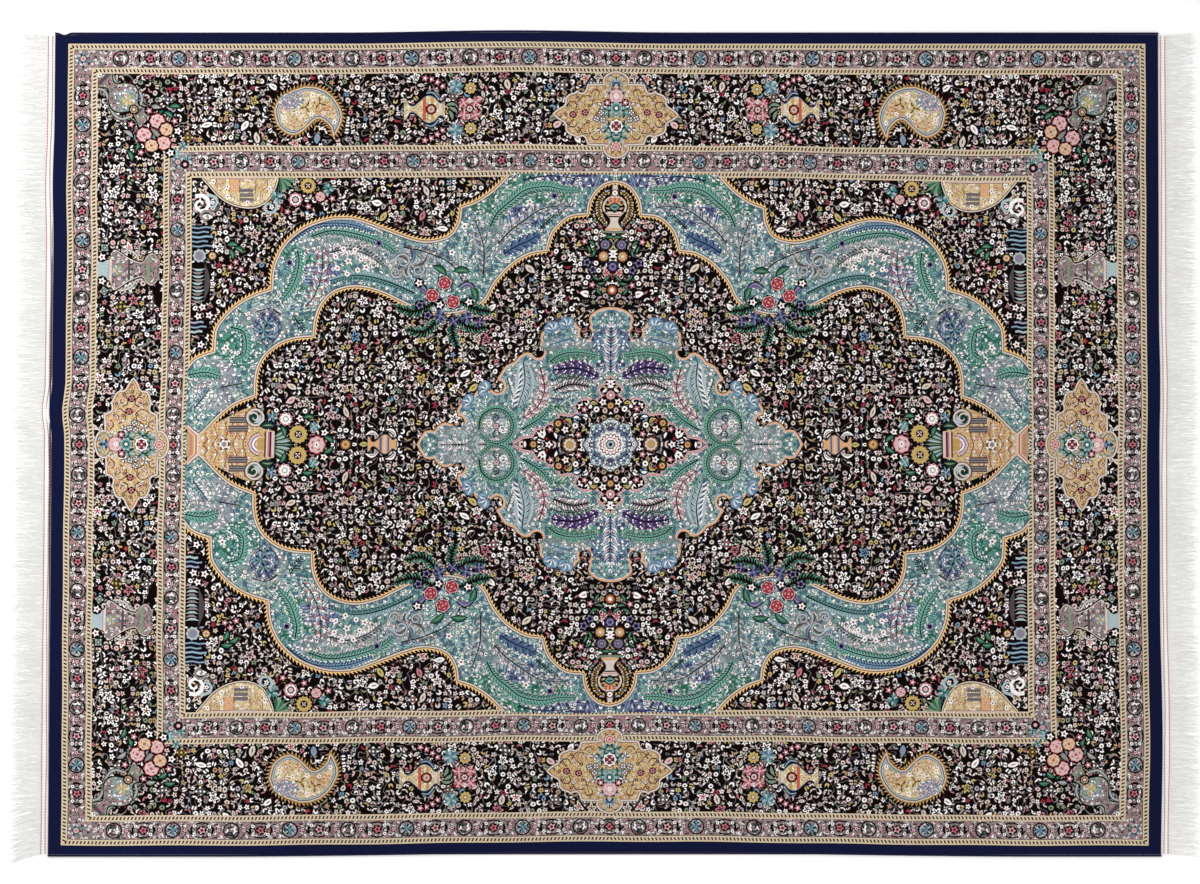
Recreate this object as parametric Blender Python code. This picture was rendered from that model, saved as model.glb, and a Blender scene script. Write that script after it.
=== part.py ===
"""A Persian carpet lying flat: one knotted body, an overcast selvedge cord along each long side, and at
each short end a flat-woven kilim strip whose warp ends hang out as a fringe of knotted locks.

Metres, +Z up. X runs along the carpet's length and Y across it. The origin is on the floor, under the
middle of the carpet and its fringes. The outline is worked out in squares of the carpet's cartoon, the
squared paper that a carpet is woven from, and lie() sets each place down on the floor, as unevenly as
a hand-woven carpet lies.
"""

import math

import bmesh
import bpy

SQUARE = 0.0036  # one square of the cartoon
CARPET_LENGTH = 3.990  # between the two short edges of the knotted body
CARPET_WIDTH = 2.960  # over the two selvedge cords
PILE_THICKNESS = 0.009  # foundation and cropped pile together
PILE_SHOULDER = 0.002  # the pile rounds off at its rim
CORD_RADIUS = 0.004  # of the overcast selvedge
FIT_GAP = 0.0003  # between pieces that touch
KILIM_WIDTH = 0.029
KILIM_THICKNESS = 0.003
LOCK_LENGTH = 0.112
LOCKS_PER_END = 150
LOCK_ROOT_SHARE = 0.80  # of the pitch, so that neighbours stand apart

HALF_U = CARPET_LENGTH / 2 / SQUARE
HALF_V = CARPET_WIDTH / 2 / SQUARE
BODY_HALF_V = HALF_V - (2 * CORD_RADIUS + FIT_GAP) / SQUARE
ORIGIN_SHIFT_V = 4.5  # the lower fringe corner sweeps out, which moves the middle of the whole
STRIP_HALF_V = HALF_V - 2 * CORD_RADIUS / SQUARE
LOCK_PITCH = 2 * STRIP_HALF_V / LOCKS_PER_END
LONG_STEP = 14.0  # squares between two points of a long edge
SHORT_STEP = 2 * LOCK_PITCH  # and of a short edge: two locks hang from each step

# Sections of a lock: share of its length, width as a share of the pitch, height in metres
LOCK_SECTIONS = (
    {"along": 0.30, "width": 0.78, "height": 0.0050},
    {"along": 0.68, "width": 0.66, "height": 0.0045},
    {"along": 1.00, "width": 0.30, "height": 0.0018},
)

# How the edges stray from straight lines, in squares: where along the edge, over what half length, how
# far, and how deep into the carpet the stray reaches
EDGE_WAVES = (
    {"edge": "left", "at": 33.0, "half": 28.0, "by": -2.6, "reach": 170.0},
    {"edge": "left", "at": 262.0, "half": 60.0, "by": -1.2, "reach": 120.0},
    {"edge": "right", "at": -290.0, "half": 130.0, "by": 2.0, "reach": 200.0},
    {"edge": "right", "at": 60.0, "half": 70.0, "by": 1.0, "reach": 120.0},
    {"edge": "top", "at": -95.0, "half": 170.0, "by": 2.2, "reach": 260.0},
    {"edge": "top", "at": -545.0, "half": 8.0, "by": -3.0, "reach": 9.0},
    {"edge": "bottom", "at": 20.0, "half": 420.0, "by": 4.0, "reach": 330.0},
)
TAPER = 0.0048  # the lower edge is longer than the upper one by twice this share
LEAN = 1.1  # squares that the upper edge stands to the right of the lower one, halved
LOWER_STRETCH = 2.5  # squares that the lower corners lie below a true rectangle


def bump(place, at, half):
    """One smooth hump of height 1 round a place, and 0 beyond its half length."""
    away = abs(place - at) / half
    return 0.0 if away >= 1.0 else (1.0 + math.cos(math.pi * away)) / 2.0


def fade(depth, reach):
    """1 at an edge, falling smoothly to 0 at the given depth inside it."""
    return bump(max(depth, 0.0), 0.0, reach)


def lie(u, v):
    """The place on the floor, in metres, of a place in the cartoon, in squares from its middle."""
    x = u - TAPER * u * v / HALF_V + LEAN * v / HALF_V
    y = v + ORIGIN_SHIFT_V + min(v, 0.0) * LOWER_STRETCH / HALF_V
    for wave in EDGE_WAVES:
        if wave["edge"] in ("left", "right"):
            depth = HALF_U + u if wave["edge"] == "left" else HALF_U - u
            x += wave["by"] * bump(v, wave["at"], wave["half"]) * fade(depth, wave["reach"])
        else:
            depth = HALF_V - v if wave["edge"] == "top" else HALF_V + v
            y += wave["by"] * bump(u, wave["at"], wave["half"]) * fade(depth, wave["reach"])
    return x * SQUARE, y * SQUARE


def stations(half, step=LONG_STEP):
    """Evenly spaced places along a straight edge, from -half to half."""
    count = round(2 * half / step)
    return [-half + 2 * half * i / count for i in range(count + 1)]


def with_nicks(places, edge):
    """Adds the places that a nick in that edge needs to those along a straight edge."""
    nicks = [wave for wave in EDGE_WAVES if wave["edge"] == edge and wave["half"] < LONG_STEP]
    near = [wave["at"] + wave["half"] * share for wave in nicks for share in (-1.0, -0.5, 0.0, 0.5, 1.0)]
    inside = [place for place in near if abs(place) < max(places)]
    far = [place for place in places if all(abs(place - other) > 1.0 for other in inside)]
    return sorted(far + inside)


def new_material(name, colour, roughness):
    """A plain cloth finish."""
    material = bpy.data.materials.new(name)
    material.use_nodes = True
    shader = material.node_tree.nodes["Principled BSDF"]
    shader.inputs["Base Color"].default_value = (*colour, 1.0)
    shader.inputs["Roughness"].default_value = roughness
    shader.inputs["Metallic"].default_value = 0.0
    return material


def add_object(name, bm, material):
    """Turns a finished bmesh into an object of that name."""
    bmesh.ops.recalc_face_normals(bm, faces=bm.faces)
    mesh = bpy.data.meshes.new(name)
    bm.to_mesh(mesh)
    bm.free()
    mesh.materials.append(material)
    part = bpy.data.objects.new(name, mesh)
    bpy.context.scene.collection.objects.link(part)
    return part


def body_ring(bm, inset, height):
    """One closed ring of points round the knotted body, drawn in by an inset in metres."""
    half_u = HALF_U - inset / SQUARE
    half_v = BODY_HALF_V - inset / SQUARE
    lower_edge = stations(half_u)
    upper_edge = with_nicks(stations(half_u), "top")
    short_edge = stations(half_v, SHORT_STEP)
    corners = [(u, -half_v) for u in lower_edge[:-1]]
    corners += [(half_u, v) for v in short_edge[:-1]]
    corners += [(u, half_v) for u in reversed(upper_edge[1:])]
    corners += [(-half_u, v) for v in reversed(short_edge[1:])]
    return [bm.verts.new((*lie(u, v), height)) for u, v in corners]


def bridge(bm, lower, upper):
    """Joins two rings of equal length with a band of quads."""
    for i, corner in enumerate(lower):
        following = (i + 1) % len(lower)
        bm.faces.new((corner, lower[following], upper[following], upper[i]))


def make_body(material):
    """The knotted body: one flat slab, shouldered where the pile ends."""
    bm = bmesh.new()
    rings = [
        body_ring(bm, 0.0, 0.0),
        body_ring(bm, 0.0, PILE_THICKNESS - PILE_SHOULDER),
        body_ring(bm, PILE_SHOULDER, PILE_THICKNESS),
    ]
    for lower, upper in zip(rings, rings[1:]):
        bridge(bm, lower, upper)
    bm.faces.new(list(reversed(rings[0])))
    bm.faces.new(rings[-1])
    return add_object("knotted_body", bm, material)


def beside_body(u, side, away):
    """The place at a distance outside the body's long edge, square to the way the edge runs there."""
    x, y = lie(u, side * BODY_HALF_V)
    x_before, y_before = lie(u - 1.0, side * BODY_HALF_V)
    x_after, y_after = lie(u + 1.0, side * BODY_HALF_V)
    step = math.hypot(x_after - x_before, y_after - y_before)
    return x - side * away * (y_after - y_before) / step, y + side * away * (x_after - x_before) / step


def make_selvedge(name, side, material):
    """The overcast cord along one long side, as a curve with round sides and closed ends."""
    curve = bpy.data.curves.new(name, "CURVE")
    curve.dimensions = "3D"
    curve.bevel_depth = CORD_RADIUS
    curve.bevel_resolution = 2
    curve.use_fill_caps = True
    route = with_nicks(stations(HALF_U), "top" if side > 0 else "bottom")
    line = curve.splines.new("POLY")
    line.points.add(len(route) - 1)
    for point, u in zip(line.points, route):
        point.co = (*beside_body(u, side, CORD_RADIUS + FIT_GAP), CORD_RADIUS, 1.0)
    curve.materials.append(material)
    cord = bpy.data.objects.new(name, curve)
    bpy.context.scene.collection.objects.link(cord)
    return cord


def sway(side, v, along):
    """How far a lock strays sideways, in metres, at a share of its length. Neighbours stray alike."""
    metres = v * SQUARE
    gentle = 0.0050 * math.sin(14.0 * metres + 1.3 * side) + 0.0035 * math.sin(31.0 * metres + 2.0)
    lower_corner = (v + HALF_V) * SQUARE
    upper_corner = (HALF_V - v) * SQUARE
    swept = 0.036 if side < 0 else 0.012
    flare = -swept * math.exp(-lower_corner / 0.16) + 0.006 * math.exp(-upper_corner / 0.12)
    return (gentle + flare) * along**1.4


def lock_reach(side, index):
    """The length of one lock: the ends are cut roughly level."""
    return LOCK_LENGTH * (1.0 - 0.035 * (1.0 + math.sin(index * 2.399 + side)))


def make_fringe(name, side, material):
    """A kilim strip along one short end and the fringe of locks that stands out of its outer wall."""
    bm = bmesh.new()
    inner_u = side * (HALF_U + FIT_GAP / SQUARE)
    outer_u = side * (HALF_U + KILIM_WIDTH / SQUARE)
    middles = [LOCK_PITCH * (i + 0.5) - STRIP_HALF_V for i in range(LOCKS_PER_END)]
    root = LOCK_PITCH * LOCK_ROOT_SHARE / 2
    inner = [wall_edge(bm, inner_u, v) for v in stations(STRIP_HALF_V, SHORT_STEP)]
    outer = [wall_edge(bm, outer_u, v + shift) for v in middles for shift in (-root, root)]
    weave_strip(bm, inner, outer)
    for index, v in enumerate(middles):
        grow_lock(bm, side, index, v, outer_u, outer[2 * index : 2 * index + 2])
    return add_object(name, bm, material)


def wall_edge(bm, u, v):
    """The lower and the upper corner of the kilim strip's wall at one place."""
    return [bm.verts.new((*lie(u, v), height)) for height in (0.0, KILIM_THICKNESS)]


def weave_strip(bm, inner, outer):
    """The strip's faces, two locks to a step, open only where a lock grows out of the outer wall."""
    for k in range(len(inner) - 1):
        a, b = inner[k], inner[k + 1]
        roots = outer[4 * k : 4 * k + 4]
        following = outer[4 * k + 4 : 4 * k + 5]
        bm.faces.new((a[0], b[0], b[1], a[1]))
        bm.faces.new((roots[1][0], roots[2][0], roots[2][1], roots[1][1]))
        for level in (0, 1):
            bm.faces.new((a[level], b[level], roots[2][level], roots[1][level]))
            bm.faces.new((a[level], roots[1][level], roots[0][level]))
            bm.faces.new((b[level], roots[3][level], roots[2][level]))
        for after in following:
            bm.faces.new((roots[3][0], after[0], after[1], roots[3][1]))
            for level in (0, 1):
                bm.faces.new((b[level], after[level], roots[3][level]))
    for inside, outside in ((inner[0], outer[0]), (inner[-1], outer[-1])):
        bm.faces.new((inside[0], outside[0], outside[1], inside[1]))


def grow_lock(bm, side, index, v, root_u, root_edges):
    """Sets one tapering four-sided lock on its root in the strip's outer wall, level on the floor."""
    near, far = root_edges
    section = [near[0], far[0], far[1], near[1]]
    reach = lock_reach(side, index)
    for row in LOCK_SECTIONS:
        half_width = LOCK_PITCH * SQUARE * row["width"] / 2
        x, y = lie(root_u, v)
        x += side * reach * row["along"]
        y += sway(side, v, row["along"])
        low, high = y - half_width, y + half_width
        corners = ((x, low, 0.0), (x, high, 0.0), (x, high, row["height"]), (x, low, row["height"]))
        following = [bm.verts.new(corner) for corner in corners]
        for k in range(4):
            after = (k + 1) % 4
            bm.faces.new((section[k], section[after], following[after], following[k]))
        section = following
    bm.faces.new(section)


def main():
    """Clears the scene and builds the carpet's five pieces."""
    for old in list(bpy.data.objects):
        bpy.data.objects.remove(old)
    pile = new_material("wool_and_silk_pile", (0.16, 0.15, 0.16), 0.85)
    binding = new_material("navy_overcast_wool", (0.012, 0.016, 0.07), 0.80)
    cotton = new_material("white_cotton_warp", (0.82, 0.81, 0.78), 0.90)
    make_body(pile)
    make_selvedge("selvedge_upper", 1, binding)
    make_selvedge("selvedge_lower", -1, binding)
    make_fringe("fringe_left", -1, cotton)
    make_fringe("fringe_right", 1, cotton)


main()
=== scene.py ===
"""A Persian carpet lying flat, dressed for its render.

The pattern is drawn as on a weaver's cartoon: one quarter of it, in squares of 3.6 mm, as flat shapes
painted over one another. It is then mirrored to the other three quarters and laid down on the floor as
unevenly as a hand-woven carpet lies, and each zone of it becomes a piece of cropped pile.
"""

import logging
import math
from dataclasses import dataclass
from enum import Enum, IntFlag
from typing import Sequence

import bpy
import numpy as np
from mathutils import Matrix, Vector
from mathutils.geometry import delaunay_2d_cdt


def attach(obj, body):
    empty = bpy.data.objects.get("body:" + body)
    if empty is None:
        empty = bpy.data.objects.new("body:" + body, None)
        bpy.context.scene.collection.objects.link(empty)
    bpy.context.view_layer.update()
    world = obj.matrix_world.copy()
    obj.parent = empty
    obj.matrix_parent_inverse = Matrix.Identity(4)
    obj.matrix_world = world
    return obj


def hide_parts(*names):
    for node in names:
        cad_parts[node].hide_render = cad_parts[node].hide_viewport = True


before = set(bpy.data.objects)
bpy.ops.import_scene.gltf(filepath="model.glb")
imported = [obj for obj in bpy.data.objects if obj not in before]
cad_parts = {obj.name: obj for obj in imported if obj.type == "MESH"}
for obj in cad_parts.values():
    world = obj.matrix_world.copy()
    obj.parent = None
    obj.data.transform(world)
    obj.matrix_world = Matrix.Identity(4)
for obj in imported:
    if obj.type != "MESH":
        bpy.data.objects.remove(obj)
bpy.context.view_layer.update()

logging.basicConfig(level=logging.INFO, format="%(message)s")
log = logging.getLogger("carpet")

Shape = np.ndarray  # the corners of a flat shape, as complex numbers: across the cartoon and up it

# The carpet's driving sizes, as on the bodies of the frame, in metres
SQUARE = 0.0036
CARPET_LENGTH = 3.990
CARPET_WIDTH = 2.960
PILE_TOP = 0.009
SHOULDER_IN = 0.0012  # how far the pile's rim is rounded off, and how far down
SHOULDER_DOWN = 0.0006
FOUNDATION_TOP = 0.0028
FLOOR_GAP = 0.0002
BROAD_SWELL = 0.00025
FINE_SWELL = 0.0002
CORD_RADIUS = 0.004
FIT_GAP = 0.0003
KILIM_WIDTH = 0.029
KILIM_THICKNESS = 0.003
LOCK_LENGTH = 0.112
LOCKS_PER_END = 150

HALF_U = CARPET_LENGTH / 2 / SQUARE
HALF_V = CARPET_WIDTH / 2 / SQUARE
BODY_HALF_V = HALF_V - (2 * CORD_RADIUS + FIT_GAP) / SQUARE
STRIP_HALF_V = HALF_V - 2 * CORD_RADIUS / SQUARE
LOCK_PITCH = 2 * STRIP_HALF_V / LOCKS_PER_END
ORIGIN_SHIFT_V = 4.5

# How the edges stray from straight lines, in squares, as on the bodies of the frame
EDGE_WAVES = (
    {"edge": "left", "at": 33.0, "half": 28.0, "by": -2.6, "reach": 170.0},
    {"edge": "left", "at": 262.0, "half": 60.0, "by": -1.2, "reach": 120.0},
    {"edge": "right", "at": -290.0, "half": 130.0, "by": 2.0, "reach": 200.0},
    {"edge": "right", "at": 60.0, "half": 70.0, "by": 1.0, "reach": 120.0},
    {"edge": "top", "at": -95.0, "half": 170.0, "by": 2.2, "reach": 260.0},
    {"edge": "top", "at": -545.0, "half": 8.0, "by": -3.0, "reach": 9.0},
    {"edge": "bottom", "at": 20.0, "half": 420.0, "by": 4.0, "reach": 330.0},
)
TAPER = 0.0048
LEAN = 1.1
LOWER_STRETCH = 2.5

# How the pattern strays inside those edges, in squares: where, over what half lengths, and how far
PATTERN_SHIFT_U = 5.0
PATTERN_SHIFT_V = -1.15
PATTERN_STRETCH_V = 0.009
PATTERN_TREMOR = 0.45
PATTERN_MARGIN = 14.0  # along the edges, where it strays less and less
PATTERN_WAVES = (
    {"at": (400.0, 262.0), "half": (290.0, 150.0), "by": (0.0, -4.5)},
    {"at": (-430.0, 200.0), "half": (190.0, 220.0), "by": (2.2, 0.0)},
    {"at": (-440.0, -150.0), "half": (170.0, 200.0), "by": (-1.6, 0.0)},
    {"at": (0.0, 330.0), "half": (300.0, 260.0), "by": (5.0, 0.0)},
)

# Low ripples where the carpet doesn't lie quite flat, in metres: from, to, half width and height
RIPPLES = (
    {"start": (-2.00, 0.13), "end": (-1.62, 0.02), "half": 0.060, "height": 0.0035},
    {"start": (-1.99, 0.09), "end": (-1.20, -0.10), "half": 0.085, "height": 0.0022},
    {"start": (-1.45, -0.05), "end": (-1.30, -0.22), "half": 0.070, "height": 0.0020},
)
RIPPLE_CREST = (0.35, 0.75)  # where along a ripple it is highest, and how far it reaches from there


class Zone(IntFlag):
    """The zones of the pattern, from the edge inwards."""

    EDGE = 1
    OUTER_GUARD = 2
    BORDER = 4
    INNER_GUARD = 8
    CORNER = 16
    BAND = 32
    FIELD = 64
    MEDALLION = 128


class Dye(Enum):
    """The colours of the knots, as the eye sees them. Vine, scrolls and meadows are worked finely."""

    VINE = (13, 6, 6)
    COAL = (13, 6, 7)
    NAVY = (17, 23, 56)
    MIDNIGHT = (10, 13, 34)
    WINE = (74, 22, 32)
    CRIMSON = (152, 44, 62)
    CORAL = (190, 92, 74)
    ROSE = (188, 122, 130)
    BLUSH = (216, 186, 184)
    IVORY = (248, 242, 240)
    CREAM = (216, 202, 190)
    CORD = (210, 192, 164)
    WHEAT = (240, 198, 138)
    SAND = (176, 150, 116)
    STRAW = (198, 180, 116)
    GOLD = (188, 152, 92)
    APRICOT = (214, 166, 122)
    BROWN = (96, 62, 40)
    PLUM = (66, 50, 92)
    LAVENDER = (134, 128, 162)
    SKY = (120, 152, 176)
    STEEL = (74, 102, 130)
    MIST = (172, 188, 192)
    TEAL = (104, 144, 146)
    LAGOON = (72, 130, 124)
    GREEN = (40, 106, 82)
    SPRUCE = (24, 58, 50)
    SAGE = (128, 144, 118)
    JADE = (122, 168, 158)
    PEARL = (178, 168, 172)
    GREY = (142, 134, 132)
    SMOKE = (80, 72, 76)
    SCROLLS = (146, 132, 132)
    GILT = (210, 182, 134)
    PALE_GILT = (224, 204, 160)
    MEADOW = (168, 202, 200)
    PALE_MEADOW = (172, 185, 185)
    BLUE_MEADOW = (117, 143, 174)
    GREEN_MEADOW = (106, 165, 148)


DYES = list(Dye)


class Style(Enum):
    """How a ground is worked: with scrolls, with ferns, or with a vine and its large motifs."""

    SCROLLS = 0.0
    FERNS = 0.5
    VINE = 1.0


@dataclass(frozen=True)
class FineWork:
    """What is knotted too finely to draw on a ground: its stems, and its light and dark florets."""

    stem: Dye
    stem_share: float
    light: Dye
    dark: Dye
    floret_share: float
    pitch: float
    style: Style = Style.SCROLLS


FINE_WORK = {
    Dye.VINE: FineWork(Dye.PEARL, 0.56, Dye.IVORY, Dye.CREAM, 1.0, 6.3, Style.VINE),
    Dye.SCROLLS: FineWork(Dye.COAL, 0.95, Dye.IVORY, Dye.ROSE, 0.7, 4.2),
    Dye.GILT: FineWork(Dye.BROWN, 0.85, Dye.CREAM, Dye.CORAL, 0.6, 4.0),
    Dye.PALE_GILT: FineWork(Dye.BROWN, 0.7, Dye.IVORY, Dye.GREY, 0.7, 3.8),
    Dye.MEADOW: FineWork(Dye.SPRUCE, 0.85, Dye.IVORY, Dye.STEEL, 0.95, 4.3, Style.FERNS),
    Dye.PALE_MEADOW: FineWork(Dye.SMOKE, 0.75, Dye.IVORY, Dye.TEAL, 0.95, 4.3, Style.FERNS),
    Dye.BLUE_MEADOW: FineWork(Dye.NAVY, 0.8, Dye.IVORY, Dye.PLUM, 0.95, 4.3, Style.FERNS),
    Dye.GREEN_MEADOW: FineWork(Dye.SPRUCE, 0.8, Dye.IVORY, Dye.GREEN, 0.95, 4.3, Style.FERNS),
}
PLAIN_WORK = FineWork(Dye.COAL, 0.14, Dye.COAL, Dye.COAL, 0.0, 3.6)

# Limits of the drawing, in squares
SHORTEST_STEP = 1e-9  # keeps a direction where two places coincide
SMALLEST_AREA = 0.05  # less than that isn't painted
SPILL_SHARE = 1.4  # a shape is spilt if its triangles cover more than that share of it and an area
SPILL_AREA = 6.0
GRID_MARGIN = 9.0  # the places of every ground stay that far from the carpet's edges
GRID_START = (5.31, 4.77)  # and lie off the round numbers that shapes have


# ---------------------------------------------------------------- shapes


def disc(radius: float, corners: int = 8) -> Shape:
    """A round shape about its middle."""
    return radius * np.exp(2j * np.pi * (np.arange(corners) + 0.5) / corners)


def star(outer: float, inner: float, tips: int) -> Shape:
    """A star with its first tip along +x."""
    radii = np.where(np.arange(2 * tips) % 2 == 0, outer, inner)
    return radii * np.exp(1j * np.pi * np.arange(2 * tips) / tips)


def leaf(length: float, width: float, bend: float = 0.0, steps: int = 3) -> Shape:
    """A pointed leaf from its stalk at the origin along +x.

    Args:
        length: from stalk to tip.
        width: at its widest.
        bend: how far its spine arches to the left, as a share of its length.
        steps: how many lengths each side is drawn with.

    Returns:
        Its corners, anticlockwise.
    """
    share = np.linspace(0.0, 1.0, steps + 1)
    arch = np.sin(np.pi * share)
    spine = length * share + 1j * bend * length * arch
    half = width / 2 * arch
    return np.concatenate([spine - 1j * half, (spine + 1j * half)[-2:0:-1]])


def stretched(shape: Shape, by: complex) -> Shape:
    """A shape made longer and higher by the two parts of a number."""
    return shape.real * by.real + 1j * shape.imag * by.imag


def left_of(along: Shape) -> Shape:
    """Steps of length 1, square to those given, to their left."""
    return 1j * along / np.maximum(np.abs(along), SHORTEST_STEP)


def area_of(shape: Shape) -> float:
    """The area inside a closed shape, positive where it runs anticlockwise."""
    following = np.roll(shape, -1)
    return float((shape.real * following.imag - following.real * shape.imag).sum() / 2)


def beside(route: Shape, distance: float | Shape) -> Shape:
    """A route moved square to itself, to its left."""
    return route + left_of(np.gradient(route)) * distance


def ribbon(route: Shape, width: float | Shape) -> Shape:
    """A stripe of that width along an open route."""
    half = np.asarray(width) / 2
    return np.concatenate([beside(route, -half), beside(route, half)[::-1]])


def grown(shape: Shape, by: float) -> Shape:
    """A closed anticlockwise shape, larger by that much all round."""
    return shape - left_of(np.roll(shape, -1) - np.roll(shape, 1)) * by


def smooth(points: Sequence[complex], per: int = 3) -> Shape:
    """A smooth open curve through given points, with that many steps between two of them."""
    p = np.asarray(points, dtype=complex)
    if len(p) < 3:
        return p
    ends = np.concatenate([[2 * p[0] - p[1]], p, [2 * p[-1] - p[-2]]])
    share = (np.arange(per) / per)[None, :]
    a, b, c, d = (ends[i : len(ends) - 3 + i][:, None] for i in range(4))
    curve = b + share * (c - a) / 2 + share**2 * (a - 2.5 * b + 2 * c - d / 2)
    curve = curve + share**3 * (1.5 * (b - c) + (d - a) / 2)
    return np.concatenate([curve.ravel(), p[-1:]])


def scallops(arcs: Sequence[Sequence[complex]], per: int = 3) -> Shape:
    """An outline of smooth arcs that meet in cusps: each arc starts where the one before ends."""
    curves = [smooth(arc, per) for arc in arcs]
    return np.concatenate([curve[:-1] for curve in curves[:-1]] + [curves[-1]])


def scroll(radius: float, turns: float, thickness: float, steps: int = 9) -> Shape:
    """A tendril that winds in to its heart."""
    share = np.linspace(0.0, 1.0, steps)
    route = radius * (1.0 - 0.78 * share) * np.exp(2j * np.pi * turns * share)
    return ribbon(route, thickness * (1.0 - 0.5 * share))


def spaced(route: Shape, pitch: float) -> tuple[Shape, np.ndarray]:
    """Evenly spaced places along a route, and which way it runs there."""
    run = np.concatenate([[0.0], np.cumsum(np.abs(np.diff(route)))])
    count = max(int(run[-1] / pitch), 1)
    at = (np.arange(count) + 0.5) * run[-1] / count
    places, ahead, behind = (
        np.interp(at + step, run, route.real) + 1j * np.interp(at + step, run, route.imag)
        for step in (0.0, 0.5, -0.5)
    )
    return places, np.angle(ahead - behind)


def round_about(radius: float, count: int, start: float = 0.0) -> list[complex]:
    """Places evenly spread round a circle."""
    return [radius * np.exp(1j * (start + 2 * math.pi * k / count)) for k in range(count)]


def clip_to_quarter(shape: Shape) -> Shape:
    """The part of a shape in the upper right quarter of the cartoon."""
    for part in (np.real, np.imag):
        depth = part(shape)
        if depth.size and depth.min() < 0:
            kept = []
            for i in range(len(shape)):
                j = (i + 1) % len(shape)
                if depth[i] >= 0:
                    kept.append(shape[i])
                if (depth[i] < 0) != (depth[j] < 0):
                    cut = shape[i] + (shape[j] - shape[i]) * depth[i] / (depth[i] - depth[j])
                    kept.append(1j * cut.imag if part is np.real else complex(cut.real))
            shape = np.array(kept, dtype=complex)
    return shape


def frame_shape(half_u: float, half_v: float, step: float = 12.0) -> Shape:
    """A quarter of a rectangle round the middle, with points along its two outer sides."""
    up = np.linspace(0.0, half_v, max(int(half_v / step), 1) + 1)
    over = np.linspace(half_u, 0.0, max(int(half_u / step), 1) + 1)
    return np.concatenate([[0j], half_u + 1j * up, over[1:] + 1j * half_v])


# ---------------------------------------------------------------- the cartoon


class Cartoon:
    """One quarter of the pattern: flat shapes, each painted over those before it."""

    def __init__(self) -> None:
        """Starts with bare paper."""
        self.corners: list[complex] = []
        self.faces: list[list[int]] = []
        self.dyes: list[int] = []
        self.zones: list[int] = []
        self.grounds: list[bool] = []

    def paint(self, shape: Shape, dye: Dye, zone: Zone, at: complex = 0j, turn: float = 0.0) -> None:
        """Paints a shape where it shows inside its zones.

        Args:
            shape: its corners.
            dye: its colour.
            zone: the zones in which it shows.
            at: where its origin goes.
            turn: how far it is turned, in radians.
        """
        self._add(shape * np.exp(1j * turn) + at, dye, zone, False)

    def layers(self, shape: Shape, zone: Zone, rows: Sequence[tuple[float, Dye]], at: complex = 0j) -> None:
        """Paints a closed shape several times, each time grown by a row's amount and in its dye."""
        for by, dye in rows:
            self.paint(grown(shape, by), dye, zone, at)

    def line(self, route: Shape, zone: Zone, rows: Sequence[tuple[float, Dye]], at: complex = 0j) -> None:
        """Paints a line several times, each time in a row's width and dye."""
        for width, dye in rows:
            self.paint(ribbon(route, width), dye, zone, at)

    def ground(self, shape: Shape, dye: Dye, zone: Zone) -> None:
        """Lays the ground of a zone, which ends the zones below it there."""
        self._add(shape, dye, zone, True)

    def _add(self, shape: Shape, dye: Dye, zone: Zone, is_ground: bool) -> None:
        """Clips a shape to the quarter and keeps it, anticlockwise."""
        shape = clip_to_quarter(shape)
        if len(shape) < 3:
            return
        area = area_of(shape)
        if abs(area) < SMALLEST_AREA:
            return
        if area < 0:
            shape = shape[::-1]
        first = len(self.corners)
        self.corners.extend(shape.tolist())
        self.faces.append(list(range(first, first + len(shape))))
        self.dyes.append(DYES.index(dye))
        self.zones.append(int(zone))
        self.grounds.append(is_ground)


@dataclass
class Quarter:
    """The finished quarter, cut into triangles."""

    places: Shape
    triangles: np.ndarray
    dyes: np.ndarray
    zones: np.ndarray


def spilt_faces(cartoon: Cartoon, corners: np.ndarray, owners: Sequence[Sequence[int]]) -> set[int]:
    """Finds shapes that the cutting has spilt far past their outlines.

    Args:
        cartoon: the painted shapes.
        corners: three places for each triangle.
        owners: the shapes that each triangle lies in.

    Returns:
        The numbers of the shapes whose triangles cover much more than the shape itself.
    """
    sides = corners[:, 1] - corners[:, 0], corners[:, 2] - corners[:, 0]
    areas = np.abs(sides[0].real * sides[1].imag - sides[0].imag * sides[1].real) / 2
    counts = [len(over) for over in owners]
    covering = np.concatenate([np.asarray(over, dtype=int) for over in owners if over])
    covered = np.bincount(covering, np.repeat(areas, counts), len(cartoon.faces))
    places = np.array(cartoon.corners)
    drawn = np.array([area_of(places[face]) for face in cartoon.faces])
    spilt = {int(face) for face in np.flatnonzero(covered > SPILL_SHARE * drawn + SPILL_AREA)}
    log.info("spilt shapes left out: %d", len(spilt))
    return spilt


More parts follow.
